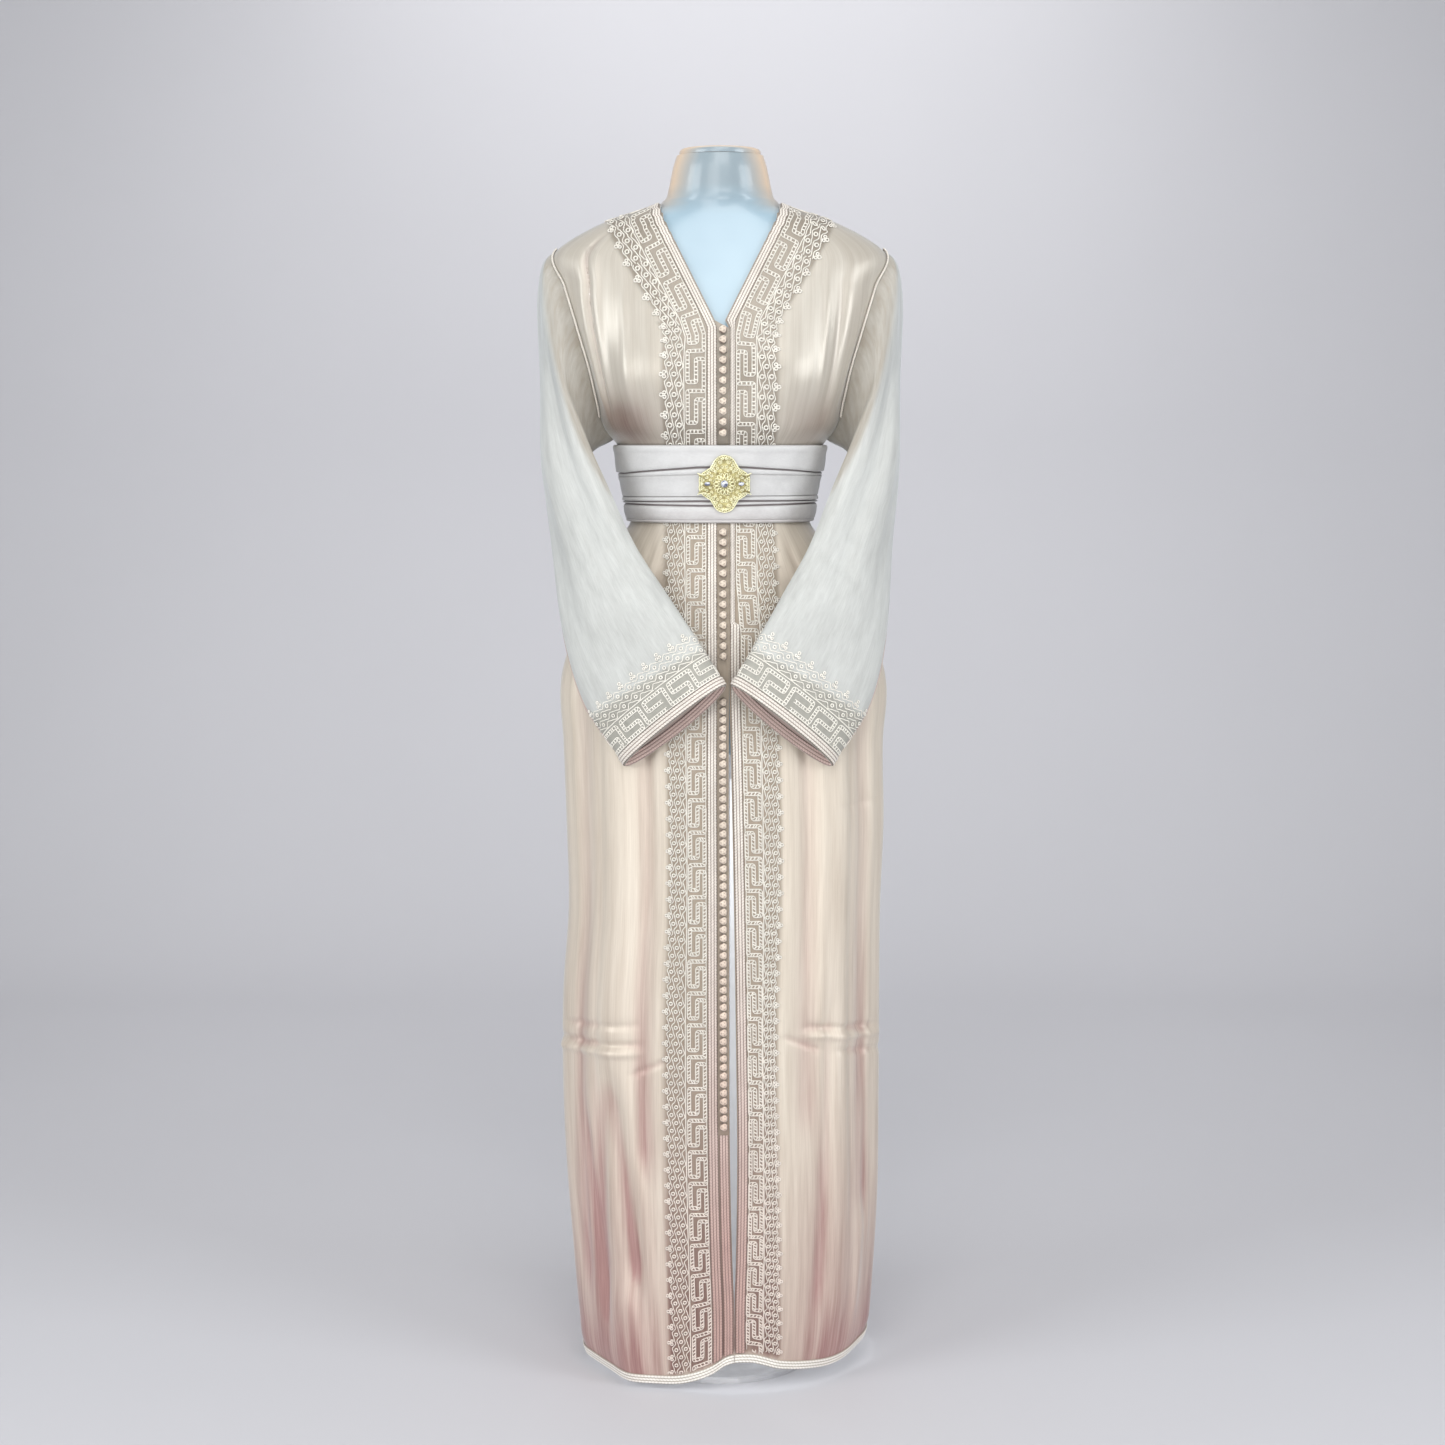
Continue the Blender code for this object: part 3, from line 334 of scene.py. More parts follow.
def ramp(tree, value, stops):
    """Colours or greys at places from 0 to 1."""
    made = add(tree, "ValToRGB", {0: value})
    points = made.color_ramp.elements
    while len(points) < len(stops):
        points.new(0.5)
    for point, (place, colour) in zip(points, stops):
        point.position = place
        point.color = (*colour, 1) if isinstance(colour, tuple) else (colour, colour, colour, 1)
    return made.outputs[0]


def attribute(tree, name, socket="Fac"):
    """A piece's own attribute: a number, or a place with the socket Vector."""
    return add(tree, "Attribute", attribute_name=name).outputs[socket]


def object_place(tree):
    """Places in metres in the object's own frame."""
    return add(tree, "TexCoord").outputs["Object"]


def noise(tree, place, scale, detail, roughness=0.5):
    """Cloudy noise with about scale clouds in a unit of place."""
    sockets = {"Vector": place, "Scale": scale, "Detail": detail, "Roughness": roughness}
    return add(tree, "TexNoise", sockets).outputs[0]


def relief(tree, height, strength, depth):
    """A bump from height, depth metres deep at strength 1."""
    return add(tree, "Bump", {"Strength": strength, "Distance": depth, "Height": height}).outputs[0]


def crepe(tree, across, along, detail=4.0):
    """Noise drawn out along the cloth, with this many streaks in a metre across it and along it."""
    lay = attribute(tree, "lay", "Vector")
    placed = add(tree, "Mapping", {0: lay, 3: (across, across, along)}).outputs[0]
    return noise(tree, placed, 1.0, detail, 0.62)

# %% Satin
WAIST_FROM, WAIST_TO = 1.04, 1.15


def satin(name, light, deep, rose_light, rose_deep, inner, painted_shade_tint, roughness, bump,
          metallic=0.0, sheen=0.2, short=1.0, painted_cool_cast=(1, 1, 1), soft=0.0):
    """Satin between two tints that crepe streaks mix, in its upper and in its rose colours.

    Where the embroidery lies, in the cuff band, in the belt's pleats and below the bust the cloth is
    multiplied by a darker tint, a painted shade, and its inner face is the lining. The rose colours
    also paint the shade that the rose attribute carries. short shortens the streaks, a darker,
    bluish-grey cast is laid on the cloth above the waist as painted sheen of the side lights, and soft
    roughens the cloth below it."""
    made, tree, shader = new_finish(
        name, roughness=roughness, metallic=metallic, specular_ior_level=0.6,
        sheen_weight=sheen, sheen_roughness=0.35, sheen_tint=(0.90, 0.96, 1.0, 1),
    )
    fine = crepe(tree, 760, 14 * short)
    broad = crepe(tree, 44, 2.6 * short, 3.0)
    middle = crepe(tree, 170, 6 * short)
    streaks = mix(tree, 0.40, mix(tree, 0.45, fine, middle), broad)
    streak = ramp(tree, streaks, [(0.34, 0.0), (0.66, 1.0)])
    # Rose comes and goes in patches, between 0.75 and 1.25 times its share.
    patchy = mix(tree, 0.5, middle, broad)
    uneven = add(tree, "MapRange", {0: patchy, 1: 0.38, 2: 0.62, 3: 1.25, 4: 0.75}).outputs[0]
    rose = add(tree, "Math", {0: attribute(tree, "rose"), 1: uneven}, operation="MULTIPLY").outputs[0]
    upper = mix(tree, streak, (*deep, 1), (*light, 1))
    lower = mix(tree, streak, (*rose_deep, 1), (*rose_light, 1))
    # Painted shade: where the embroidery lies, in the pleats and below the bust the tint is multiplied by a
    # darker one.
    painted_shade = attribute(tree, "painted_shade")
    tint = mix(tree, painted_shade, mix(tree, rose, upper, lower), (*painted_shade_tint, 1), "MULTIPLY")
    # Painted sheen: above the waist the tint is multiplied by a darker, bluish-grey one, for the side lights'
    # sheen.
    level = add(tree, "SeparateXYZ", {0: attribute(tree, "lay", "Vector")}).outputs[2]
    above = add(tree, "MapRange", {0: level, 1: WAIST_FROM, 2: WAIST_TO}).outputs[0]
    tint = mix(tree, above, tint, mix(tree, 1.0, tint, (*painted_cool_cast, 1), "MULTIPLY"))
    tint = mix(tree, attribute(tree, "lining"), tint, (*inner, 1))
    gloss = ramp(tree, broad, [(0.3, roughness - 0.06), (0.7, roughness + 0.08)])
    softer = add(tree, "Math", {0: above, 1: -soft, 2: soft}, operation="MULTIPLY_ADD").outputs[0]
    gloss = add(tree, "Math", {0: gloss, 1: softer}).outputs[0]
    grain = relief(tree, mix(tree, 0.35, fine, broad), bump, 0.0006)
    feed(tree, shader, base_color=tint, roughness=gloss, normal=grain)
    return made


# The robe's darker tint is painted shade, and its bluish-grey cast above the waist is painted sheen.
robe_satin = satin(
    "robe_satin", light=(0.73, 0.66, 0.56), deep=(0.54, 0.465, 0.375),
    rose_light=(0.55, 0.345, 0.315), rose_deep=(0.29, 0.145, 0.135), inner=(0.93, 0.93, 0.94),
    painted_shade_tint=(0.50, 0.465, 0.43), roughness=0.34, bump=0.40, metallic=0.18, sheen=0.45,
    painted_cool_cast=(0.80, 0.83, 0.86), soft=0.11,
)
# On the sleeves the rose colours are painted shade, and the dark inner face is painted shade inside the
# sleeve.
sleeve_satin = satin(
    "sleeve_satin", light=(0.59, 0.60, 0.575), deep=(0.42, 0.425, 0.405),
    rose_light=(0.41, 0.375, 0.32), rose_deep=(0.33, 0.295, 0.245), inner=(0.46, 0.36, 0.32),
    painted_shade_tint=(0.66, 0.63, 0.58), roughness=0.55, bump=0.9, sheen=0.5, short=4.0,
)
# On the belt the darker tint is painted shade in the pleats' grooves, and the rose colours are painted shade
# along the lower edge.
belt_satin = satin(
    "belt_satin", light=(0.61, 0.605, 0.60), deep=(0.50, 0.495, 0.49),
    rose_light=(0.48, 0.41, 0.40), rose_deep=(0.40, 0.33, 0.32), inner=(0.60, 0.56, 0.55),
    painted_shade_tint=(0.34, 0.29, 0.29), roughness=0.50, bump=0.25, metallic=0.03, short=3.0,
)
print("satins made")


# %% [markdown]
# Braid and embroidery cord are matt silk. A fine slanting ripple in the bump stands for the twist of
# the yarn, and the same "rose" attribute tints them towards the hem. Their deep tint is painted shade
# in the grooves and on the cords' lower sides.

# %% Silk cord
def silk(name, light, deep, rose_light):
    """Silk whose tint falls to the deep one, a painted shade, in the grooves and under each cord ("top"
    is 0 there and 1 on the cord).
    """
    made, tree, shader = new_finish(name, roughness=0.55, sheen_weight=0.3, sheen_roughness=0.5)
    place = object_place(tree)
    grain = noise(tree, place, 1400, 2.0)
    broad = noise(tree, place, 45.0, 3.0)
    rose = attribute(tree, "rose")
    rose_deep = tuple(0.36 * part for part in rose_light)
    light_now = mix(tree, rose, (*light, 1), (*rose_light, 1))
    shade_colour = mix(tree, rose, (*deep, 1), (*rose_deep, 1))
    # Painted shade: the tint falls to the deep one where "top" is low.
    on_top = ramp(tree, attribute(tree, "top"), [(0.08, 0.0), (0.60, 1.0)])
    tint = mix(tree, on_top, shade_colour, light_now)
    worn = ramp(tree, mix(tree, 0.5, grain, broad), [(0.35, 0.0), (0.65, 0.25)])
    feed(tree, shader, base_color=mix(tree, worn, tint, shade_colour), normal=relief(tree, grain, 0.4, 0.0003))
    return made


# The second colour of each silk is its painted shade in grooves and under cords.
cord_silk = silk("embroidery_silk", (0.86, 0.83, 0.755), (0.28, 0.22, 0.17), (0.88, 0.74, 0.66))
cuff_silk = silk("cuff_silk", (0.96, 0.93, 0.85), (0.28, 0.24, 0.19), (0.86, 0.72, 0.64))
braid_silk = silk("braid_silk", (0.84, 0.80, 0.73), (0.18, 0.13, 0.10), (0.53, 0.34, 0.30))
hem_silk = silk("hem_silk", (0.96, 0.94, 0.88), (0.42, 0.36, 0.30), (0.70, 0.52, 0.46))
button_silk = silk("button_silk", (0.80, 0.70, 0.58), (0.18, 0.11, 0.08), (0.72, 0.51, 0.42))


# %% [markdown]
# ## The robe's surface
# The robe hangs from the form's shoulders, is held in at the waist and opens to the hem. It is
# described by level sections, as a tailor measures a figure: half width, depth in front and behind,
# and how square the section is. A place on it is (z, around): around is 0 at the front centre, 1 at
# the left side seam, -1 at the right one and 2 at the back.

# %% Sizes of the robe
WALL = 0.0016
SEAM_GAP = 0.0003
HEM_Z = 0.0105
NECK_Z = 1.457
SHOULDER_TIP_Z = 1.402
ARMPIT_Z = 1.170
NECK_POINT_Z = 1.312
OPENING_TOP_Z = 1.303
ARMHOLE_HALF_WIDTH = 0.043
BELT_BOTTOM_Z = 1.070
BELT_HEIGHT = 0.094
BRAID_WIDTH = 0.0115

# z, half_width, front, back, squareness, shift
ROBE_SECTIONS = np.array([
    (0.010, 0.1770, 0.1500, 0.1560, 2.05, 0.006),
    (0.035, 0.1835, 0.1505, 0.1570, 2.15, 0.006),
    (0.060, 0.1850, 0.1505, 0.1575, 2.25, 0.006),
    (0.100, 0.1875, 0.1500, 0.1570, 2.35, 0.0054),
    (0.170, 0.1915, 0.1490, 0.1560, 2.45, 0.0045),
    (0.235, 0.1950, 0.1480, 0.1540, 2.5, 0.0032),
    (0.350, 0.1980, 0.1460, 0.1500, 2.5, 0.0008),
    (0.490, 0.1975, 0.1430, 0.1460, 2.5, 0.0012),
    (0.590, 0.1940, 0.1410, 0.1430, 2.5, 0.0050),
    (0.700, 0.1970, 0.1380, 0.1410, 2.5, 0.0058),
    (0.800, 0.1980, 0.1355, 0.1395, 2.5, 0.0035),
    (0.870, 0.2015, 0.1320, 0.1380, 2.5, 0.0040),
    (0.940, 0.1830, 0.1250, 0.1320, 2.5, 0.0030),
    (1.000, 0.1560, 0.1130, 0.1170, 2.4, 0.0015),
    (1.045, 0.1270, 0.0990, 0.0960, 2.3, 0.0),
    (1.070, 0.1110, 0.0920, 0.0865, 2.2, 0.0),
    (1.115, 0.1185, 0.0935, 0.0855, 2.2, 0.0),
    (1.164, 0.1275, 0.0985, 0.0885, 2.2, 0.0),
    (1.182, 0.1420, 0.1090, 0.0965, 2.3, 0.0),
    (1.215, 0.1530, 0.1150, 0.1000, 2.3, 0.0),
    (1.255, 0.1650, 0.1150, 0.1030, 2.3, 0.0),
    (1.310, 0.1840, 0.1040, 0.1040, 2.3, 0.0),
    (1.355, 0.1960, 0.0880, 0.0980, 2.3, 0.0),
    (1.402, 0.2000, 0.0700, 0.0820, 2.2, 0.0),
    (1.424, 0.1660, 0.0650, 0.0730, 2.1, 0.0),
    (1.435, 0.1430, 0.0620, 0.0690, 2.05, 0.0),
    (1.446, 0.1110, 0.0595, 0.0655, 2.0, 0.0),
    (1.457, 0.0755, 0.0570, 0.0620, 2.0, 0.0),
])

# %% [markdown]
# The sections are worked out once, every 2 mm of height, and then read by interpolation, so that
# tens of thousands of points cost nothing.

# %% The sections as a lookup table
LEVEL_STEP = 0.002
SHARES = 201


def quarter_tables():
    """For each level: x and depth along a quarter section at equal shares of its length.

    The quarter is a superellipse: x = w sin(t)^p and depth = d cos(t)^p, with p = 2 / squareness."""
    levels = np.arange(0.0, 1.462, LEVEL_STEP)
    half, front, back, square, shift = (
        through(ROBE_SECTIONS[:, 0], ROBE_SECTIONS[:, k], levels) for k in range(1, 6)
    )
    turn = np.linspace(0, np.pi / 2, 121)
    power = (2 / square)[:, None]
    share = np.linspace(0, 1, SHARES)
    tables, lengths = [], []
    for depth in (front, back):
        x = half[:, None] * np.sin(turn) ** power
        y = depth[:, None] * np.abs(np.cos(turn)) ** power
        run = np.cumsum(np.hypot(np.diff(x), np.diff(y)), axis=1)
        run = np.concatenate([np.zeros((len(levels), 1)), run], axis=1)
        tables.append([[np.interp(share * r[-1], r, line) for r, line in zip(run, grid)] for grid in (x, y)])
        lengths.append(run[:, -1])
    return levels, np.array(tables), np.array(lengths), shift


LEVELS, QUARTERS, QUARTER_LENGTHS, SHIFTS = quarter_tables()
print("levels:", len(LEVELS))


def quarter_length(z, back=False):
    """Length of a quarter section, from its middle to the side seam."""
    return np.interp(z, LEVELS, QUARTER_LENGTHS[int(back)])


def length_at_x(z, x):
    """Length along the front section from its middle to x."""
    x = x - np.interp(z, LEVELS, SHIFTS)
    level = np.clip(np.round(z / LEVEL_STEP).astype(int), 0, len(LEVELS) - 1)
    rows = np.atleast_2d(QUARTERS[0, 0][level])
    shares = np.linspace(0, 1, SHARES)
    places = np.array([np.interp(abs(at), row, shares) for row, at in zip(rows, np.atleast_1d(x))])
    return np.sign(x) * places.reshape(np.shape(x)) * quarter_length(z)


def wrapped(around):
    """The same place as a number from -2 to 2."""
    return (around + 2) % 4 - 2


def section_point(z, around):
    """The bare section's point: x and depth read from the tables between four neighbours."""
    z, around = np.broadcast_arrays(np.asarray(z, float), wrapped(np.asarray(around, float)))
    side, reach = np.where(around < 0, -1.0, 1.0), abs(around)
    back = (reach > 1).astype(int)
    place = np.where(back, 2 - reach, reach) * (SHARES - 1)
    row = np.clip(z / LEVEL_STEP, 0, len(LEVELS) - 1.001)
    i, j = row.astype(int), np.clip(place.astype(int), 0, SHARES - 2)
    u, v = row - i, place - j
    read = [
        (1 - u) * ((1 - v) * QUARTERS[back, k, i, j] + v * QUARTERS[back, k, i, j + 1])
        + u * ((1 - v) * QUARTERS[back, k, i + 1, j] + v * QUARTERS[back, k, i + 1, j + 1])
        for k in (0, 1)
    ]
    x = side * read[0] + np.interp(z, LEVELS, SHIFTS)
    return np.stack([x, np.where(back, read[1], -read[1]), z], -1)


def outward(z, around):
    """The level direction out of the section."""
    step = section_point(z, around + 0.01) - section_point(z, around - 0.01)
    return unit(np.stack([step[..., 1], -step[..., 0], np.zeros(step.shape[:-1])], -1))


# %% [markdown]
# ## Folds
# Hanging satin falls in long soft folds. Each is a bell-shaped ridge (or, with a negative height, a
# trough) that fades at its top and bottom and may lean sideways as it falls. The first part of the
# table has the large folds, which the solids have too, and the rest is finer.

# %% The folds' table
# around, height, width, top, bottom, lean
FOLDS = np.array([
    (-0.37, -0.0060, 0.050, 1.040, 0.240, 0.03),
    (-0.49, 0.0050, 0.070, 1.050, 0.120, 0.00),
    (-0.66, -0.0055, 0.060, 1.000, 0.080, -0.06),
    (-0.83, 0.0045, 0.080, 0.950, -0.060, 0.00),
    (-0.52, -0.0065, 0.045, 0.420, 0.060, -0.20),
    (-0.44, 0.0120, 0.110, 0.170, -0.080, 0.00),
    (0.38, -0.0040, 0.050, 1.040, 0.300, 0.00),
    (0.52, 0.0045, 0.065, 1.030, 0.040, 0.02),
    (0.66, -0.0060, 0.060, 1.010, 0.180, 0.05),
    (0.84, 0.0050, 0.070, 0.980, -0.060, 0.00),
    (-0.62, 0.0035, 0.035, 1.069, 0.930, 0.00),
    (-0.46, -0.0025, 0.030, 1.069, 0.930, 0.00),
    (0.46, -0.0025, 0.030, 1.069, 0.930, 0.00),
    (0.62, 0.0035, 0.035, 1.069, 0.930, 0.00),
    (1.20, -0.0055, 0.080, 1.060, -0.070, 0.02),
    (1.38, 0.0070, 0.080, 1.065, -0.070, 0.04),
    (1.58, -0.0065, 0.080, 1.060, -0.070, 0.03),
    (1.78, 0.0070, 0.080, 1.065, -0.070, 0.00),
    (-1.22, 0.0055, 0.080, 1.060, -0.070, -0.03),
    (-1.42, -0.0065, 0.080, 1.060, -0.070, -0.02),
    (-1.60, 0.0070, 0.080, 1.065, -0.070, 0.00),
    (-1.80, -0.0060, 0.080, 1.060, -0.070, 0.00),
    (-0.72, 0.0042, 0.050, 1.410, 1.165, 0.00),
    (0.70, 0.0034, 0.060, 1.400, 1.170, -0.10),
    (-0.52, 0.0030, 0.060, 1.310, 1.165, 0.10),
    (1.55, 0.0045, 0.090, 1.320, 1.165, 0.00),
    (-1.55, 0.0045, 0.090, 1.320, 1.165, 0.00),
    # Finer folds, in the scene only.
    (-0.70, -0.0058, 0.017, 1.435, 1.180, 0.04),
    (-0.650, 0.0026, 0.022, 1.430, 1.190, 0.04),
    (-0.50, 0.0016, 0.022, 1.380, 1.180, 0.06),
    (0.56, 0.0016, 0.022, 1.395, 1.175, -0.05),
    (0.64, -0.0026, 0.022, 1.395, 1.175, -0.06),
    (0.76, 0.0018, 0.022, 1.390, 1.180, 0.00),
    (-0.50, -0.0075, 0.036, 0.420, 0.070, 0.36),
    (-0.42, 0.0035, 0.030, 0.420, 0.090, 0.34),
    (-0.66, -0.0045, 0.030, 0.370, 0.040, 0.30),
    (-0.33, -0.0030, 0.022, 1.020, 0.560, -0.03),
    (0.36, -0.0026, 0.022, 0.960, 0.480, 0.03),
    (0.50, -0.0045, 0.034, 0.520, 0.060, -0.16),
    (0.70, 0.0030, 0.030, 0.400, 0.030, -0.12),
    (-0.40, 0.0016, 0.018, 1.000, 0.300, 0.02),
    (-0.56, -0.0018, 0.020, 0.900, 0.200, -0.04),
    (-0.74, 0.0018, 0.018, 0.980, 0.150, 0.02),
    (-0.90, -0.0020, 0.022, 0.900, 0.060, 0.00),
    (0.44, 0.0014, 0.018, 0.980, 0.260, 0.02),
    (0.58, -0.0018, 0.020, 0.930, 0.160, 0.03),
    (0.74, 0.0018, 0.020, 0.960, 0.120, 0.00),
    (0.92, -0.0018, 0.022, 0.900, 0.060, 0.00),
    (1.30, 0.0016, 0.022, 1.000, 0.050, 0.00),
    (1.48, -0.0016, 0.020, 1.000, 0.050, 0.02),
    (1.68, 0.0016, 0.022, 1.000, 0.050, 0.00),
    (-1.32, -0.0016, 0.022, 1.000, 0.050, 0.00),
    (-1.50, 0.0016, 0.020, 1.000, 0.050, -0.02),
    (-1.70, -0.0016, 0.022, 1.000, 0.050, 0.00),
    (1.42, -0.0016, 0.026, 1.300, 1.168, 0.00),
    (1.34, -0.0034, 0.038, 0.940, 0.120, 0.05),
    (1.66, -0.0038, 0.040, 1.010, 0.260, -0.04),
    (1.90, -0.0036, 0.040, 0.900, 0.030, 0.03),
    (-1.30, -0.0036, 0.040, 1.000, 0.200, -0.05),
    (-1.70, -0.0034, 0.040, 0.860, 0.060, 0.05),
    (1.86, -0.0030, 0.044, 1.380, 1.180, 0.10),
    (-1.72, -0.0030, 0.044, 1.400, 1.200, -0.12),
    (1.24, -0.0026, 0.040, 1.330, 1.170, 0.08),
    (-1.42, -0.0016, 0.026, 1.300, 1.168, 0.00),
])
FOLD_FADE = 0.07
print("folds:", len(FOLDS))

# Creases across the cloth, from lying folded: around, z, reach_around, height, width, slope
PRESS_LINES = np.array([
    (-0.60, 0.453, 0.26, -0.0024, 0.0050, 0.006),
    (-0.62, 0.430, 0.30, -0.0034, 0.0048, 0.004),
    (-0.62, 0.419, 0.30, 0.0032, 0.0050, 0.004),
    (-0.31, 0.407, 0.10, -0.0022, 0.0048, 0.032),
    (0.60, 0.450, 0.26, -0.0030, 0.0048, -0.008),
    (0.60, 0.439, 0.28, 0.0030, 0.0050, -0.008),
    (0.70, 0.417, 0.22, -0.0024, 0.0048, -0.010),
    (0.36, 0.436, 0.10, -0.0022, 0.0048, -0.030),
    (0.66, 0.727, 0.16, -0.0008, 0.0060, 0.004),
    (1.60, 0.430, 0.30, -0.0018, 0.0055, 0.00),
    (-1.60, 0.430, 0.30, -0.0018, 0.0055, 0.00),
])

# The bust's domes: their middle, how far they stand out, and their half width and half height
BUST_AROUND, BUST_Z = 0.42, 1.247
BUST_HEIGHT, BUST_WIDTH, BUST_TALL = 0.0085, 0.20, 0.042

# around, how far the hem is lifted off its level line
HEM_LIFT = np.array([
    (-2.00, 0.012), (-1.50, 0.010), (-1.00, 0.004), (-0.42, -0.003), (-0.18, 0.001), (-0.05, 0.015),
    (0.00, 0.024), (0.11, 0.028), (0.27, 0.0165), (0.40, 0.0115), (0.55, 0.0085), (0.70, 0.0125),
    (0.85, 0.024), (1.00, 0.042), (1.50, 0.030), (2.00, 0.012),
])
HEM_LIFT_REACH = 0.25


# %% The cloth with its folds
def fold_height(z, around):
    """The sum of height * exp(-(away / width)^2) over all folds, each faded at both ends."""
    total = np.zeros(np.broadcast(z, around).shape)
    for middle, height, width, top, bottom, lean in FOLDS:
        away = wrapped(around - middle - lean * (top - z)) / width
        fade = rise(z, bottom, bottom + FOLD_FADE) * (1 - rise(z, top - FOLD_FADE, top))
        total += height * np.exp(-away * away) * fade
    for middle, level, reach, height, width, slope in PRESS_LINES:
        away = wrapped(around - middle)
        line = (z - level - slope * away * 4) / width
        total += height * np.exp(-line * line) * (1 - rise(abs(away), reach * 0.6, reach))
    return total


def bust(z, around):
    """Two low domes, one each side: exp(-(across^2 + up^2))."""
    near = ((abs(abs(wrapped(around)) - BUST_AROUND)) / BUST_WIDTH) ** 2 + ((z - BUST_Z) / BUST_TALL) ** 2
    return BUST_HEIGHT * np.exp(-near)


def smooth_point(z, around):
    """The plain surface that the form and the belt follow."""
    return section_point(z, around) + outward(z, around) * bust(z, around)[..., None]


def cloth_point(z, around):
    """The robe's outer face: section, plus bust and folds outward, plus the hem's lift."""
    z, around = np.broadcast_arrays(np.asarray(z, float), np.asarray(around, float))
    stands_off = bust(z, around) + fold_height(z, around)
    point = section_point(z, around) + outward(z, around) * stands_off[..., None]
    lift = through(HEM_LIFT[:, 0], HEM_LIFT[:, 1], wrapped(around))
    point[..., 2] += lift * (1 - rise(z, HEM_Z, HEM_LIFT_REACH))
    return point


def normal_of(surface, z, around, step=0.004):
    """The surface's normal from small steps sideways and up."""
    across = surface(z, around + step) - surface(z, around - step)
    upward = surface(np.minimum(z + 0.002, NECK_Z), around) - surface(z - 0.002, around)
    return unit(np.cross(across, upward))


# %% [markdown]
# ## Where the panels end
# The fronts meet on a line a little to the left of the centre, up to the point of the V neck. From
# there each edge runs straight to the shoulder. The armholes are cut into the sides.

# %% Panel edges
# z, middle of the opening (x), how far each edge stands off it
FRONT_OPENING = np.array([
    (0.010, 0.0175, 0.00015), (0.090, 0.0175, 0.00030), (0.160, 0.0172, 0.0022), (0.300, 0.0165, 0.0044),
    (0.450, 0.0152, 0.0040), (0.620, 0.0138, 0.0028), (0.780, 0.0120, 0.0014), (0.880, 0.0110, 0.00018),
    (1.000, 0.0108, 0.00015), (OPENING_TOP_Z, 0.0107, 0.00015),
])
NECK_EDGE = np.array([(NECK_POINT_Z, 0.0060), (1.435, 0.0675), (NECK_Z, 0.0745)])  # z, x


def armhole_reach(z):
    """Half the armhole's width at a level: a sine arch, squared up by a power below 1."""
    t = np.clip((z - ARMPIT_Z) / (SHOULDER_TIP_Z - ARMPIT_Z), 0, 1)
    return ARMHOLE_HALF_WIDTH * np.sin(np.pi * t) ** 0.6


def side_length(z, back=False):
    """Length along a quarter section from the centre to the side seam or the armhole."""
    return quarter_length(z, back) - np.maximum(armhole_reach(z), SEAM_GAP / 2)


def edge_length(z, side):
    """A front's free edge as a length from the centre, for the front on that side."""
    z = np.asarray(z, float)
    low = np.minimum(z, OPENING_TOP_Z)
    middle = through(FRONT_OPENING[:, 0], FRONT_OPENING[:, 1], low)
    apart = through(FRONT_OPENING[:, 0], FRONT_OPENING[:, 2], low)
    below = side * length_at_x(low, middle + side * apart)
    high = np.maximum(z, NECK_POINT_Z)
    above = length_at_x(high, np.interp(high, NECK_EDGE[:, 0], NECK_EDGE[:, 1]))
    share = np.clip((z - OPENING_TOP_Z) / (NECK_POINT_Z - OPENING_TOP_Z), 0, 1)
    return below * (1 - share) + above * share


PLACKET_WIDTH = 0.0140
EDGE_MARGIN = 0.0012
FRONT_BRAID, NARROW_BRAID = BRAID_WIDTH + 0.0006, 0.0060
NARROW_FROM_Z = 0.95  # above it, the left braid is the narrow one up to the neck's point


def trim_offsets(z, side):
    """Where the placket and the braid end, and the embroidery starts, from the free edge."""
    z = np.asarray(z, float)
    in_neck = z >= NECK_POINT_Z
    placket = np.where(in_neck | (side > 0), EDGE_MARGIN, PLACKET_WIDTH)
    narrow = (side > 0) & (z > NARROW_FROM_Z) & ~in_neck
    braid_end = placket + np.where(narrow, NARROW_BRAID, FRONT_BRAID)
    return placket, braid_end, braid_end + EDGE_MARGIN


def on_front(z, length, side):
    """The (z, around) of a length from the centre along a front."""
    return z, side * length / quarter_length(z)


def rose_share(points):
    """How rose the cloth is: most at the hem beside the embroidery, none above the thigh."""
    x, z = points[..., 0], points[..., 2]
    beside = rise(abs(x - 0.012), 0.050, 0.13)
    low = 1 - rise(z, 0.01, 0.43)
    corner = 0.45 * (1 - rise(z, 0.0, 0.14)) * beside
    return low * (0.30 + 0.30 * beside) + corner + 0.10 * (1 - rise(z, 0.30, 0.95)) * beside * (1 - low)


def cord_rose(points):
    """The embroidery's cords turn rose a little higher up than the satin does."""
    return 0.05 + 0.75 * (1 - rise(points[..., 2], 0.0, 0.60))


def under_bust_shade(z, around):
    """Painted shade below the bust, where the satin turns in, most on the wearer's right."""
    depth = np.where(around < 0, 1.0, 0.45)
    return depth * np.exp(-(((abs(around) - 0.60) / 0.19) ** 2) - ((z - 1.190) / 0.028) ** 2)


def braid_rose(points):
    """The braids turn rose earlier than the cloth beside them."""
    return 0.08 + 0.92 * (1 - rise(points[..., 2], 0.05, 0.75))


# %% [markdown]
# ## The robe's panels
# Each front runs in one length from the shoulder to the hem, and the back is one piece. Rows of the
# grid are level, and columns share out the width between the panel's edges, so the edges are exact.

# %% The three panels
shoulder_rows = np.linspace(NECK_Z, SHOULDER_TIP_Z, 24)
body_rows = np.linspace(SHOULDER_TIP_Z, HEM_Z, 236)[1:]
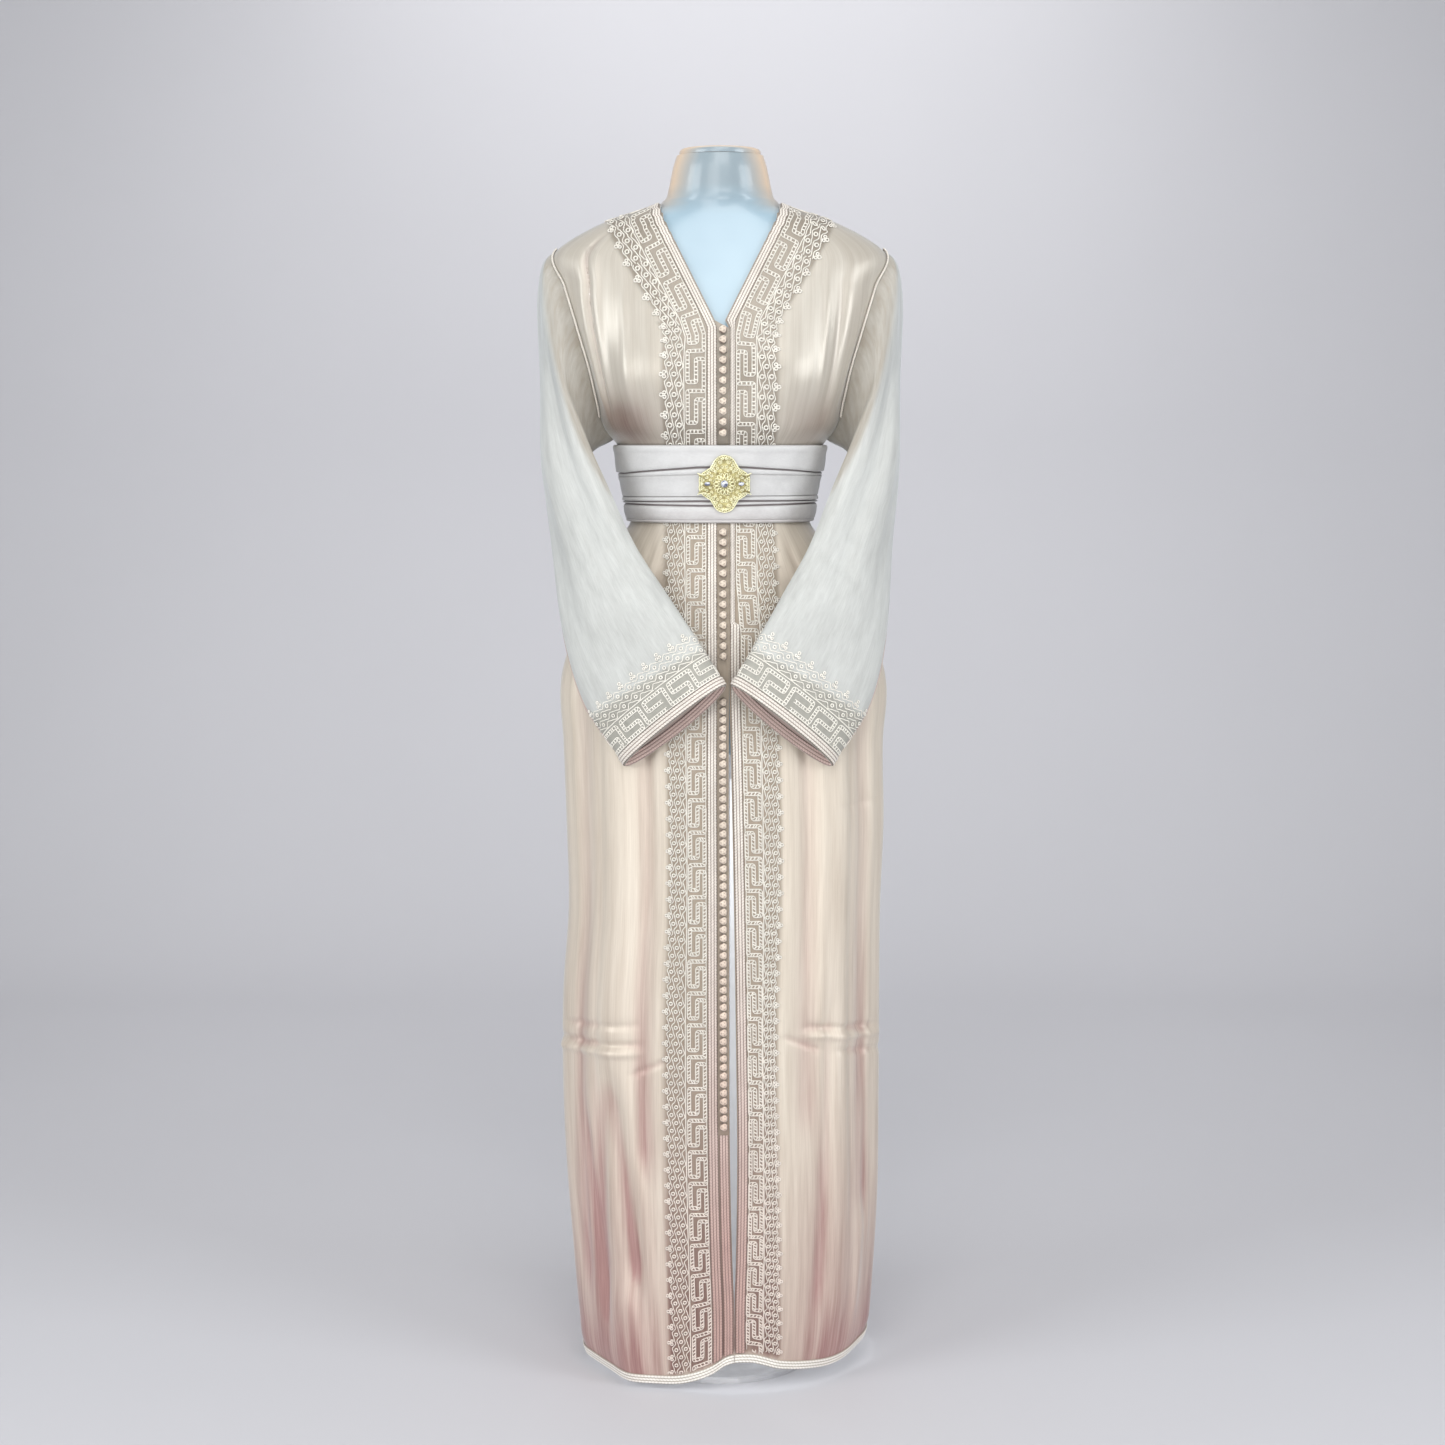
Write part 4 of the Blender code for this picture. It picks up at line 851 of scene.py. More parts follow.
# Rows lie closer where the press lines run.
crease_rows = np.concatenate([np.linspace(0.3935, 0.4615, 29), np.linspace(0.7175, 0.7355, 7)])
ROWS = np.concatenate([shoulder_rows, body_rows, crease_rows, [NECK_POINT_Z, OPENING_TOP_Z, ARMPIT_Z]])
ROWS = np.sort(ROWS)[::-1]
FRONT_COLUMNS = 70
BACK_COLUMNS = 67


def front_panel(side):
    """(z, around) of a front's grid, from its free edge to the side seam or the armhole."""
    edge, end = edge_length(ROWS, side), side_length(ROWS)
    share = np.linspace(0, 1, FRONT_COLUMNS)[None]
    z, around = on_front(ROWS[:, None], edge[:, None] + share * (end - edge)[:, None], side)
    return z * np.ones_like(around), around


def back_panel():
    """(z, around) of the back's grid, from one side seam to the other."""
    end = side_length(ROWS, back=True) / quarter_length(ROWS, back=True)
    share = np.linspace(1, -1, BACK_COLUMNS)[None]
    around = 2 - share * end[:, None]
    return ROWS[:, None] * np.ones_like(around), around


NECK_LEAN = math.atan2(NECK_EDGE[1, 1] - NECK_EDGE[0, 1], NECK_EDGE[1, 0] - NECK_EDGE[0, 0])
BEND_FROM, BEND_TO = NECK_POINT_Z - 0.055, NECK_POINT_Z + 0.045
BAND_END = 0.0715  # up to the chest the band's leaves end on one line, a length from the centre
BAND_TURNS = [1.27, 1.33, 1.42]
NECK_BAND = [0.0515, 0.058]  # the band's own widths at the last two of these levels
CHEST_Z = 1.165


def worked_share(z, around, side):
    """1 where a front carries embroidery, judged by the distance square to the band's inner line."""
    start = (edge_length(z[:, 0], side) + trim_offsets(z[:, 0], side)[2])[:, None]
    lean = NECK_LEAN * rise(z, BEND_FROM, BEND_TO)
    across = (abs(around) * quarter_length(z) - start) * np.cos(lean)
    straight = np.interp(z, BAND_TURNS, [1.0, 0.0, 0.0])
    width = straight * (BAND_END - start) + np.interp(z, BAND_TURNS, [0.0, *NECK_BAND])
    return (1 - rise(across, width - 0.005, width + 0.001)) * rise(z, 0.02, 0.03)


def robe_panel(name, z, around, painted_shade):
    """A panel of the robe with its thickness, its weave's direction and its rose tint.

    Rose gathers under the embroidery near the hem, and the rose tint also paints shade in the folds'
    hollows and below the bust."""
    outer = cloth_point(z, around)
    normals = normal_of(cloth_point, z, around)
    lay = np.stack([wrapped(around) * 0.3, np.zeros_like(z), z], -1)
    # Painted shade in the folds' hollows and below the bust, laid on as rose.
    hollow_shade = np.clip(-fold_height(z, around) / 0.006, 0, 1)
    hollow_shade *= 1 - 0.75 * rise(z, 0.15, 0.70) + 0.3 * (z > CHEST_Z)
    dyed_band = 0.50 * painted_shade * (1 - rise(z, 0.05, 0.62))
    bust_shade = 0.6 * under_bust_shade(z, wrapped(around))
    rose = np.clip(rose_share(outer) + 0.75 * hollow_shade + dyed_band + bust_shade, 0, 1.3)
    marks = {"rose": rose, "lay": lay, "painted_shade": painted_shade}
    return make_cloth(name, outer, normals, WALL, robe_satin, marks)


SIDES = (("right", -1), ("left", 1))
pieces = {}
for name, side in (("front_right", -1), ("front_left", 1), ("back", 0)):
    z, around = front_panel(side) if side else back_panel()
    painted_shade = np.zeros_like(z)
    if side:
        # The embroidery's ground and the hollow below the bust get painted shade.
        shaded = np.minimum(1.3 * under_bust_shade(z, around), 1)
        painted_shade = np.maximum(worked_share(z, around, side), shaded) * (1 - 0.15 * (z > CHEST_Z))
    pieces[name] = robe_panel("robe_" + name, z, around, painted_shade)
    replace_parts(pieces[name], name)

# %% [markdown]
# ## The sleeves
# Each sleeve is a wide tube. It starts on the armhole, bends forward at the elbow and widens to the
# cuff, and both cuffs meet in front. Four tracks describe it: the front fold, the outer face, the
# back fold and the inner face. A ring of the sleeve joins them with quarter ellipses.

# %% The sleeves' tracks
# t, then x, y, z of the front fold, the outer face, the back fold and the inner face
SLEEVE = np.array([
    (0.00, 0.160, -0.040, 1.285, 0.2000, 0.000, 1.402, 0.160, 0.042, 1.285, 0.139, 0.000, 1.170),
    (0.06, 0.173, -0.054, 1.262, 0.2140, -0.003, 1.390, 0.180, 0.052, 1.290, 0.147, -0.001, 1.165),
    (0.12, 0.178, -0.063, 1.235, 0.2195, -0.008, 1.355, 0.196, 0.050, 1.280, 0.156, -0.002, 1.160),
    (0.25, 0.166, -0.076, 1.185, 0.2170, -0.028, 1.250, 0.205, 0.028, 1.225, 0.170, -0.012, 1.140),
    (0.40, 0.136, -0.094, 1.115, 0.2010, -0.070, 1.140, 0.212, -0.006, 1.130, 0.170, -0.040, 1.085),
    (0.55, 0.105, -0.115, 1.045, 0.1690, -0.106, 1.045, 0.207, -0.048, 1.028, 0.152, -0.079, 1.020),
    (0.70, 0.068, -0.136, 0.985, 0.1380, -0.140, 0.966, 0.196, -0.085, 0.930, 0.129, -0.117, 0.938),
    (0.85, 0.034, -0.150, 0.930, 0.1020, -0.157, 0.898, 0.1715, -0.112, 0.848, 0.101, -0.134, 0.872),
    (1.00, 0.003, -0.156, 0.878, 0.0640, -0.165, 0.839, 0.1250, -0.130, 0.780, 0.064, -0.1395, 0.816),
])
SLEEVE_SETTLES_AT = 0.30
CUFF_SHIFT = 0.010
ARMHOLE_ROWS = np.array([
    SHOULDER_TIP_Z, 1.393, 1.376, 1.350, NECK_POINT_Z, OPENING_TOP_Z, 1.268, 1.232, 1.200, 1.180, ARMPIT_Z,
])

# angle from the front fold, height, width in degrees, start, end
SLEEVE_CREASES = {
    -1: [
        (35.0, 0.0030, 16.0, 0.10, 0.62), (60.0, -0.0030, 14.0, 0.15, 0.55),
        (110.0, 0.0030, 20.0, 0.30, 0.80), (140.0, -0.0025, 16.0, 0.40, 0.78),
        (225.0, 0.0035, 25.0, 0.12, 0.50),
    ],
    1: [
        (30.0, 0.0026, 17.0, 0.10, 0.58), (66.0, -0.0026, 15.0, 0.18, 0.60),
        (103.0, 0.0032, 18.0, 0.26, 0.76), (148.0, -0.0020, 18.0, 0.44, 0.84),
        (215.0, 0.0032, 26.0, 0.12, 0.46),
    ],
}
FINE_CREASES = [
    (50.0, 0.0012, 7.0, 0.16, 0.50), (75.0, -0.0014, 8.0, 0.20, 0.66), (92.0, 0.0012, 8.0, 0.28, 0.75),
    (125.0, -0.0012, 8.0, 0.35, 0.80), (20.0, -0.0010, 7.0, 0.20, 0.70), (250.0, -0.0014, 9.0, 0.15, 0.60),
    (200.0, 0.0014, 9.0, 0.20, 0.66), (290.0, 0.0012, 9.0, 0.15, 0.55),
]
# Creases across the forearm: t, angle, reach in degrees, height, width along t, lean (t for a degree)
CROSS_CREASES = [
    (0.46, 70.0, 55.0, -0.0022, 0.014, 0.0010), (0.54, 55.0, 60.0, 0.0020, 0.014, 0.0012),
    (0.60, 60.0, 50.0, -0.0022, 0.013, 0.0010), (0.68, 45.0, 45.0, 0.0018, 0.013, 0.0014),
    (0.74, 50.0, 45.0, -0.0018, 0.013, 0.0012),
]


def sleeve_ring(t, turns, side):
    """Plain points of the sleeve at t; turns is the angle, 90 degrees on the outer face, 0 in front."""
    front, outer, back, inner = (through(SLEEVE[:, 0], SLEEVE[:, k : k + 3], t) for k in (1, 4, 7, 10))
    centre = (front + back) / 2
    across, up = np.cos(turns)[..., None], np.sin(turns)[..., None]
    bulge = np.where(up >= 0, outer - centre, centre - inner)
    points = (centre + across * (front - centre) + up * bulge) * (side, 1, 1)
    points[..., 0] += CUFF_SHIFT * rise(t, 0.3, 1.0)
    return points


def crease_height(t, turns, side):
    """The sum of height * exp(-(away / width)^2) over all creases, each faded at its ends."""
    total = np.zeros(np.broadcast(t, turns).shape)
    for angle, height, width, start, end in SLEEVE_CREASES[side] + FINE_CREASES:
        away = ((np.degrees(turns) - angle + 180) % 360 - 180) / width
        fade = rise(t, start, start + 0.12) * (1 - rise(t, end - 0.12, end))
        total += height * np.exp(-away * away) * fade
    for level, angle, reach, height, width, lean in CROSS_CREASES:
        away = (np.degrees(turns) - angle + 180) % 360 - 180
        line = (t - level + side * 0.01 - lean * away) / width
        total += height * np.exp(-line * line) * (1 - rise(abs(away), reach * 0.5, reach))
    return total


# %% The sleeves
SLEEVE_COLUMNS = 80
SLEEVE_ROWS = 110


def armhole_seam(side, count):
    """Points and normals round the armhole, and the direction into the hole; column 0 at the tip."""
    place = 20 * np.arange(count) / count
    half = np.where(place <= 10, place, 20 - place)
    z = through(np.arange(11), ARMHOLE_ROWS, half)
    reach = armhole_reach(z)
    around = side * np.where(place <= 10, 1 - reach / quarter_length(z), 1 + reach / quarter_length(z, True))
    seam = cloth_point(z, around)
    facing = normal_of(cloth_point, z, around)
    along = np.roll(seam, -1, axis=0) - np.roll(seam, 1, axis=0)
    inward = unit(np.cross(facing, along))
    if (inward * (seam.mean(axis=0) - seam)).sum() < 0:
        inward = -inward
    return seam, facing, inward


def sleeve_surface(side):
    """The sleeve's outer grid and normals: rings that blend from the armhole's own shape."""
    seam, facing, inward = armhole_seam(side, SLEEVE_COLUMNS)
    t = np.linspace(0, 1, SLEEVE_ROWS)[:, None]
    turns = (np.pi / 2 - 2 * np.pi * np.arange(SLEEVE_COLUMNS) / SLEEVE_COLUMNS)[None]
    t_all, turns_all = np.broadcast_arrays(t, turns)
    left_over = seam + inward * SEAM_GAP - sleeve_ring(np.zeros(SLEEVE_COLUMNS), turns[0], side)
    grid = sleeve_ring(t_all, turns_all, side) + left_over * (1 - rise(t, 0, SLEEVE_SETTLES_AT))[..., None]
    normals = grid_normals(grid, ring=True)
    if (normals * (grid - grid.mean(axis=1, keepdims=True))).sum() < 0:
        normals = -normals
    grid = grid + normals * crease_height(t_all, turns_all, side)[..., None]
    again = grid_normals(grid, ring=True)
    again *= np.sign((again * normals).sum(axis=-1, keepdims=True))
    own = again[0].copy()
    again[0] = unit(again[0] - inward * np.maximum((again[0] * inward).sum(-1, keepdims=True), 0))
    return grid, again, t_all, turns_all, seam, facing, own


# Above the elbow the sleeve's front, up to a fold, is darker and warmer: painted shade, laid on as
# rose. The tint's edge runs at these distances from the middle: z, distance
SHADE_EDGE = np.array([
    (1.080, 0.112), (1.100, 0.130), (1.146, 0.160), (1.220, 0.190), (1.326, 0.214), (1.400, 0.221),
])
CUFF_BAND_START = 0.872

sleeves = {}
for word, side in SIDES:
    grid, normals, t_all, turns_all, seam, facing, own = sleeve_surface(side)
    inside_edge = through(SHADE_EDGE[:, 0], SHADE_EDGE[:, 1], grid[..., 2]) - abs(grid[..., 0])
    shade = rise(inside_edge, -0.003, 0.006) * rise(grid[..., 2], 1.085, 1.11)
    shade = shade * rise(-grid[..., 1], -0.01, 0.02)
    # Painted shade on the underside of the forearm, which faces down.
    underside_shade = rise(-np.sin(turns_all), -0.3, 0.8) * rise(t_all, 0.6, 1.0)
    # The cuff band's ground gets painted shade between the cords, and the rose tint is painted shade.
    marks = {
        "rose": 0.85 * shade + 0.4 * underside_shade,
        "lay": np.stack([0.055 * np.cos(turns_all), 0.055 * np.sin(turns_all), 0.62 * t_all], -1),
        "painted_shade": rise(t_all, CUFF_BAND_START, CUFF_BAND_START + 0.012),
    }
    name = "sleeve_" + word
    pieces[name] = make_cloth(
        "robe_" + name, grid, normals, WALL, sleeve_satin, marks, ring=True,
    )
    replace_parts(pieces[name], name)
    sleeves[word] = (grid, normals, seam, facing, own)

# %% [markdown]
# ## The belt
# The belt is a broad satin band laid in flat pleats that overlap downwards, so each has a dark line
# under its lower edge, deepened with painted shade in the groove. Its profile is drawn once and carried
# round the waist, and the pleats drift a little up and down on the way, as hand-laid ones do.

# %% The belt
BELT_ROWS = np.array([0.0, 0.045, BELT_HEIGHT])
BELT_INNER = 0.0024

# height above the lower edge, how far it stands off, drift in height towards the sides
BELT_PROFILE = np.array([
    (0.0000, 0.0032, 0.0), (0.0004, 0.0048, 0.0), (0.0020, 0.0058, 0.0),
    (0.0036, 0.0048, 0.0), (0.0046, 0.0058, 0.0), (0.0110, 0.0066, 0.0004),
    (0.0175, 0.0063, 0.0010), (0.0196, 0.0052, 0.0014), (0.0204, 0.0037, 0.0016),
    (0.0219, 0.0036, 0.0016), (0.0225, 0.0062, 0.0012), (0.0238, 0.0064, 0.0006),
    (0.0250, 0.0054, 0.0002), (0.0258, 0.0036, -0.0012), (0.0275, 0.0035, -0.0014),
    (0.0281, 0.0064, -0.0014), (0.0297, 0.0067, -0.0010), (0.0316, 0.0052, -0.0006),
    (0.0323, 0.0042, -0.0006), (0.0332, 0.0057, -0.0006), (0.0420, 0.0060, 0.0),
    (0.0500, 0.0055, 0.0), (0.0555, 0.0060, -0.0018), (0.0575, 0.0062, -0.0024),
    (0.0586, 0.0046, -0.0028), (0.0598, 0.0056, -0.0030), (0.0632, 0.0057, -0.0050),
    (0.0656, 0.0050, -0.0064), (0.0663, 0.0036, -0.0067), (0.0681, 0.0035, -0.0074),
    (0.0686, 0.0066, -0.0076), (0.0702, 0.0072, -0.0078), (0.0745, 0.0070, -0.0050),
    (0.0800, 0.0063, -0.0010), (0.0840, 0.0060, 0.0), (0.0875, 0.0065, 0.0),
    (0.0912, 0.0061, 0.0), (0.0932, 0.0051, 0.0), (0.0940, 0.0034, 0.0),
])
BELT_AROUND = 164
GROOVE_OUT, PLEAT_OUT = 0.0037, 0.0053  # how far a pleat's groove and its face stand off


def belt_point(up, around, out):
    """A point off the waist, which runs straight between the belt's three rows."""
    low = np.clip(1 - up / BELT_ROWS[1], 0, 1)
    high = np.clip(1 - (BELT_HEIGHT - up) / (BELT_HEIGHT - BELT_ROWS[1]), 0, 1)
    waist = np.zeros((*np.shape(around), 3))
    for share, row in zip((low, 1 - low - high, high), BELT_ROWS):
        level = np.full(np.shape(around), BELT_BOTTOM_Z + row)
        waist = waist + share[..., None] * smooth_point(level, around)
    return waist + outward(BELT_BOTTOM_Z + up, around) * np.asarray(out)[..., None]


def make_belt():
    """The profile carried round the waist, its pleats drifting with sway, slope and a fine ripple."""
    count = len(BELT_PROFILE)
    halves = np.linspace(0, count - 1, 2 * count - 1)
    profile = read_along(halves, np.arange(count), BELT_PROFILE)
    around = np.linspace(-2, 2, BELT_AROUND, endpoint=False)[:, None] * np.ones(len(profile))
    sway = np.interp(abs(around), [0, 0.15, 0.75, 1.0, 2.0], [0, 0, 1.0, 1.0, 0.2])
    slope = 0.0012 * np.sin(np.pi * around / 2) * (1 - abs(profile[:, 0] / BELT_HEIGHT * 2 - 1))
    up = profile[:, 0] + profile[:, 2] * sway + slope
    ripple = 0.00035 * np.sin(9 * around + 60 * up) + 0.00025 * np.sin(23 * around - 130 * up)
    out = profile[:, 1] + ripple * np.clip(np.minimum(up, BELT_HEIGHT - up) / 0.006, 0, 1)
    outer = belt_point(np.clip(up, 0, BELT_HEIGHT), around, out).transpose(1, 0, 2)
    inner_up = np.linspace(0, BELT_HEIGHT, len(profile))[:, None] * np.ones(BELT_AROUND)
    inner = belt_point(inner_up, around.T, np.full(inner_up.shape, BELT_INNER))
    points = np.concatenate([outer.reshape(-1, 3), inner.reshape(-1, 3)])
    away = outer * (1, 1, 0)
    faces = facing_out(points, wall_faces(*outer.shape[:2], ring=True), away.reshape(-1, 3))
    turn = around.T * np.pi / 2
    lay = np.stack([0.1 * np.cos(turn), up.T * 0.8, 0.1 * np.sin(turn)], -1).reshape(-1, 3)
    # Painted shade in the grooves between the pleats.
    groove_shade = 1 - rise(profile[:, 1], GROOVE_OUT, PLEAT_OUT)
    groove_shade[[0, 1, -1]] = 0
    # The lowest 3 cm take painted shade along the lower edge, laid on as rose.
    marks = {
        "rose": np.tile(0.25 * (1 - rise(up.T.ravel(), 0.0, 0.03)), 2),
        "painted_shade": np.tile(np.repeat(groove_shade, BELT_AROUND), 2),
        "lay": np.concatenate([lay, lay]),
    }
    return make_piece("belt_band", points, [faces], belt_satin, marks, sharp=50)


pieces["belt"] = make_belt()
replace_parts(pieces["belt"], "belt")

# %% [markdown]
# ## The flat braids
# The braid, sfifa, is worked on the robe's edges from many thin cords. It is a low strip: rounded
# ridges run along it, one for each row of cord, and slanting grooves cut each ridge into stitches
# that lean the other way on the next one.

# %% A strip of braid
BRAID_CORDS = 3
BRAID_PITCH = 0.0036
ARCH_SHARE, RIDGE_SHARE = 0.45, 0.55


def braid_strip(lines, ups, height, pitch=BRAID_PITCH, gap=0.0003, per_cord=4):
    """A strip from lines [station, 2 edges, xyz]: h = height * (0.45 arch + 0.55 ridge * stitch).

    arch is 1 - a^6 / 2 across the strip, ridge is a half circle over each cord, and stitch is a wave
    along the strip whose phase leans one way on even cords and the other way on odd ones."""
    across = np.linspace(-1, 1, BRAID_CORDS * per_cord + 1)
    run = run_along(lines.mean(axis=1))
    place = np.linspace(0, run[-1], max(3, int(run[-1] / (pitch / 4)) + 1))
    edges, up = read_along(place, run, lines), unit(read_along(place, run, ups))
    share = (across + 1)[None, :, None] / 2
    base = edges[:, :1] * (1 - share) + edges[:, 1:] * share
    cord = (across + 1) / 2 * BRAID_CORDS
    number = np.floor(np.minimum(cord, BRAID_CORDS - 1e-6))
    within = cord - number
    lean = np.where(number % 2 == 0, 1, -1)
    ridge = np.sqrt(np.clip(1 - (2 * within - 1) ** 2, 0, 1))
    stitch = 0.72 + 0.28 * np.cos(2 * np.pi * (place[:, None] / pitch + 0.5 * lean * within))
    lift = height * (ARCH_SHARE * (1 - 0.5 * across**6) + RIDGE_SHARE * ridge * stitch)
    outer = base + up[:, None] * (gap + lift)[..., None]
    foot = edges + up[:, None] * gap
    grid = np.concatenate([foot[:, :1], outer, foot[:, 1:]], axis=1)
    # top is 1 on the ridges and 0 in the grooves and stitches; the silk paints shade by it.
    top = np.pad((lift / height - ARCH_SHARE) / 0.5, ((0, 0), (1, 1)))
    points, tables = grid.reshape(-1, 3), stack_faces(*grid.shape[:2])
    sides, caps = turned_to(points, tables, tables[0][grid.shape[1] // 2], up[0])
    return points, sides, caps, top.ravel()


def make_braid(name, strip, node, tint, finish=braid_silk):
    """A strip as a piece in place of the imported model's node."""
    points, sides, caps, top = strip
    piece = make_piece(name, points, [sides, caps], finish, {"rose": tint(points), "top": top})
    if node:
        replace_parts(piece, node)


def front_line(z, offset, side):
    """Points and normals of a front along a line at these offsets from its free edge."""
    z, around = on_front(z, edge_length(z, side) + offset, side)
    return cloth_point(z, around), normal_of(cloth_point, z, around)


def strip_on_front(z, near, far, side, height):
    """A strip of braid between two offsets from a front's free edge."""
    inner, facing = front_line(z, near, side)
    outer, _ = front_line(z, far, side)
    return braid_strip(np.stack([inner, outer], axis=1), facing, height)


# %% Braids on the fronts
HEM_BRAID_TOP = HEM_Z + 0.0135
braid_rows = np.concatenate([
    np.linspace(NECK_Z - 0.0005, NECK_POINT_Z, 60), np.linspace(OPENING_TOP_Z, HEM_BRAID_TOP, 420),
])
for word, side in SIDES:
    placket, braid_end, _ = trim_offsets(braid_rows, side)
    strip = strip_on_front(braid_rows, placket + 0.0003, braid_end - 0.0003, side, 0.0021)
    make_braid("braid_front_edge_" + word, strip, "braid_front_" + word, braid_rose)

# Below the last button the placket is filled with the same braid work.
LAST_BUTTON_Z = 0.3260
PLACKET_BRAID = (0.0016, 0.0126)  # its two edges, from the free edge
placket_rows = np.linspace(LAST_BUTTON_Z, HEM_BRAID_TOP, 130)
strip = strip_on_front(placket_rows, *PLACKET_BRAID, -1, 0.0016)
make_braid("placket_braid", strip, None, lambda points: 1.1 * braid_rose(points))

# %% Braids round the back of the neck and along the hem
neck_around = np.concatenate([np.linspace(1.004, 2, 40), np.linspace(-2, -1.004, 40)[1:]])


def down_the_back(around, distance):
    """The point a distance down the cloth from the neck edge, and its normal."""
    heights = np.linspace(NECK_Z, NECK_Z - 0.03, 31)[:, None]
    run = run_along(cloth_point(heights, around[None]))
    z = np.array([np.interp(distance, column, heights[:, 0]) for column in run.T])
    return cloth_point(z, around), normal_of(cloth_point, z, around)


near, facing = down_the_back(neck_around, 0.0008)
far, facing_far = down_the_back(neck_around, BRAID_WIDTH)
strip = braid_strip(np.stack([near, far], axis=1), unit(facing + facing_far), 0.0017, gap=0.0008)
make_braid("braid_neck_edge", strip, "braid_neck_back", braid_rose)


def hem_rose(points):
    """The hem's braid stays lighter than the cloth above it, most of all near the opening."""
    return 0.15 * rose_share(points)


def hem_braid(name, node, around):
    """A braid along the last rows of a panel, BRAID_WIDTH high."""
    low = cloth_point(np.full(around.shape, HEM_Z + 0.0004), around)
    high = cloth_point(np.full(around.shape, HEM_Z + 0.0004 + BRAID_WIDTH), around)
    facing = normal_of(cloth_point, np.full(around.shape, HEM_Z + 0.006), around)
    strip = braid_strip(np.stack([low, high], axis=1), facing, 0.0020, pitch=0.0042, per_cord=3)
    make_braid(name, strip, node, hem_rose, hem_silk)


hem = np.array([HEM_Z])
share = np.linspace(0.0008, 0.9992, 140)
for word, side in SIDES:
    length = edge_length(hem, side) * (1 - share) + side_length(hem) * share
    hem_braid("braid_hem_edge_" + word, "braid_hem_front_" + word, side * length / quarter_length(hem))
share = np.linspace(0.9992, -0.9992, 260) * side_length(hem, True) / quarter_length(hem, True)
hem_braid("braid_hem_edge_back", "braid_hem_back", 2 - share)

# %% Braids round the cuffs, on the outer and the inner face
def twisted(line, ups, radius, pitch, strands=2):
    """Strands at radius * (cos, sin) round the line, one turn for each pitch."""
    run = run_along(line)
    place = np.linspace(0, run[-1], int(run[-1] / (pitch / 8)))
    middle, up = read_along(place, run, line), unit(read_along(place, run, ups))
    across = unit(np.cross(np.gradient(middle, axis=0), up))
    made = []
    for strand in range(strands):
        turn = 2 * np.pi * (place / pitch + strand / strands)
        centres = middle + radius * (np.cos(turn)[:, None] * across + np.sin(turn)[:, None] * up)
        made.append((centres, up, radius * 1.02, np.full(len(place), strand)))
    return made


def closed(ring):
    """A ring with its first point again at its end."""
    return np.concatenate([ring, ring[:1]])


CUFF_BRAID = (0.0008, 0.0125)  # its two edges, from the cuff's edge


def cuff_braid(name, word, lift, height, rose):
    """A braid ring along the cuff's edge, on the outer face (lift > 0) or on the inner one."""
    grid, normals, *_ = sleeves[word]
    last, before, facing = grid[-1], grid[-5], normals[-3] * np.sign(lift)
    if lift < 0:
        last, before = last - normals[-1] * WALL, before - normals[-5] * WALL
    steps = (before - last) / np.linalg.norm(last - before, axis=1, keepdims=True)
    lines = np.stack([closed(last + steps * edge) for edge in CUFF_BRAID], axis=1)
    points, sides, _, top = braid_strip(lines, closed(facing), height, pitch=0.0038, gap=abs(lift))
    body = len(sides)  # the last row is the first one again, so the ring leaves it out
    ring_sides = np.where(sides >= body, sides - body, sides)
    marks = {"rose": np.full(body, rose), "top": top[:body]}
    return make_piece(name, points[:body], [ring_sides], braid_silk, marks)


for word, _ in SIDES:
    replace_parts(cuff_braid("braid_cuff_edge_" + word, word, 0.0005, 0.0018, 0.08), "braid_cuff_" + word)
    # The facing braid inside the cuff takes painted shade, laid on as rose.
    cuff_braid("braid_cuff_facing_" + word, word, -0.0004, 0.0014, 0.75)

# %% [markdown]
# ## The embroidery
# The bands beside the opening are corded embroidery. From the braid outwards there is a key pattern
# worked in a ladder of two fine cords with rungs, a plain cord, a net of wavy cords with small rings
# in its pockets, and a pointed edge of three-lobed leaves. The motifs are drawn flat, as (across,
# along) on a strip, and then laid on the cloth by one function.

# %% The motifs on a flat strip
LADDER_HALF = 0.00200
LADDER_CORD = 0.00062
PLAIN_CORD = 0.00070

# The key pattern's corners, from the top down: across as a share of the band, down in repeats.
KEY_CORNERS = np.array([
    (0.045, 0.0), (0.045, 0.79), (0.400, 0.79), (0.400, 1.57), (0.215, 1.57), (0.215, 1.0),
])
RUNGS_A_REPEAT = 9.6
RUNG_LEAN = 0.0010
# A rung's reach as a share of the ladder's half width, and its radius as a share of their spacing
RUNG_REACH, RUNG_RADIUS, RUNG_FLATNESS = 0.85, 0.21, 0.60
PLAIN_LINE = 0.478  # the plain cord's place as a share of the band
EDGE_CORD = 0.00055  # the fine cord beside the braid
NET_WAVES = np.array([0.535, 0.635, 0.745, 0.850])
NET_SWAY = 0.040
NET_CORD, RING_CORD = 0.032, 0.042  # radii, in half repeats
RING_LIFT = 0.0003
# across, along in half repeats, ring radius in half repeats
NET_RINGS = [(0.585, 0.75, 0.100), (0.690, 0.25, 0.100), (0.797, 0.75, 0.100)]
LEAF_RINGS = [(0.895, 0.145, 0.075), (0.895, 0.355, 0.075), (0.962, 0.25, 0.085)]


def follow(corners, spacing):
    """Points at even spacing along a line of corners, with the corners slightly rounded."""
    run = run_along(corners)
    place = np.linspace(0, run[-1], max(4, int(run[-1] / spacing)))
    line = read_along(place, run, corners)
    soft = line.copy()
    soft[1:-1] = 0.25 * line[:-2] + 0.5 * line[1:-1] + 0.25 * line[2:]
    return soft, place


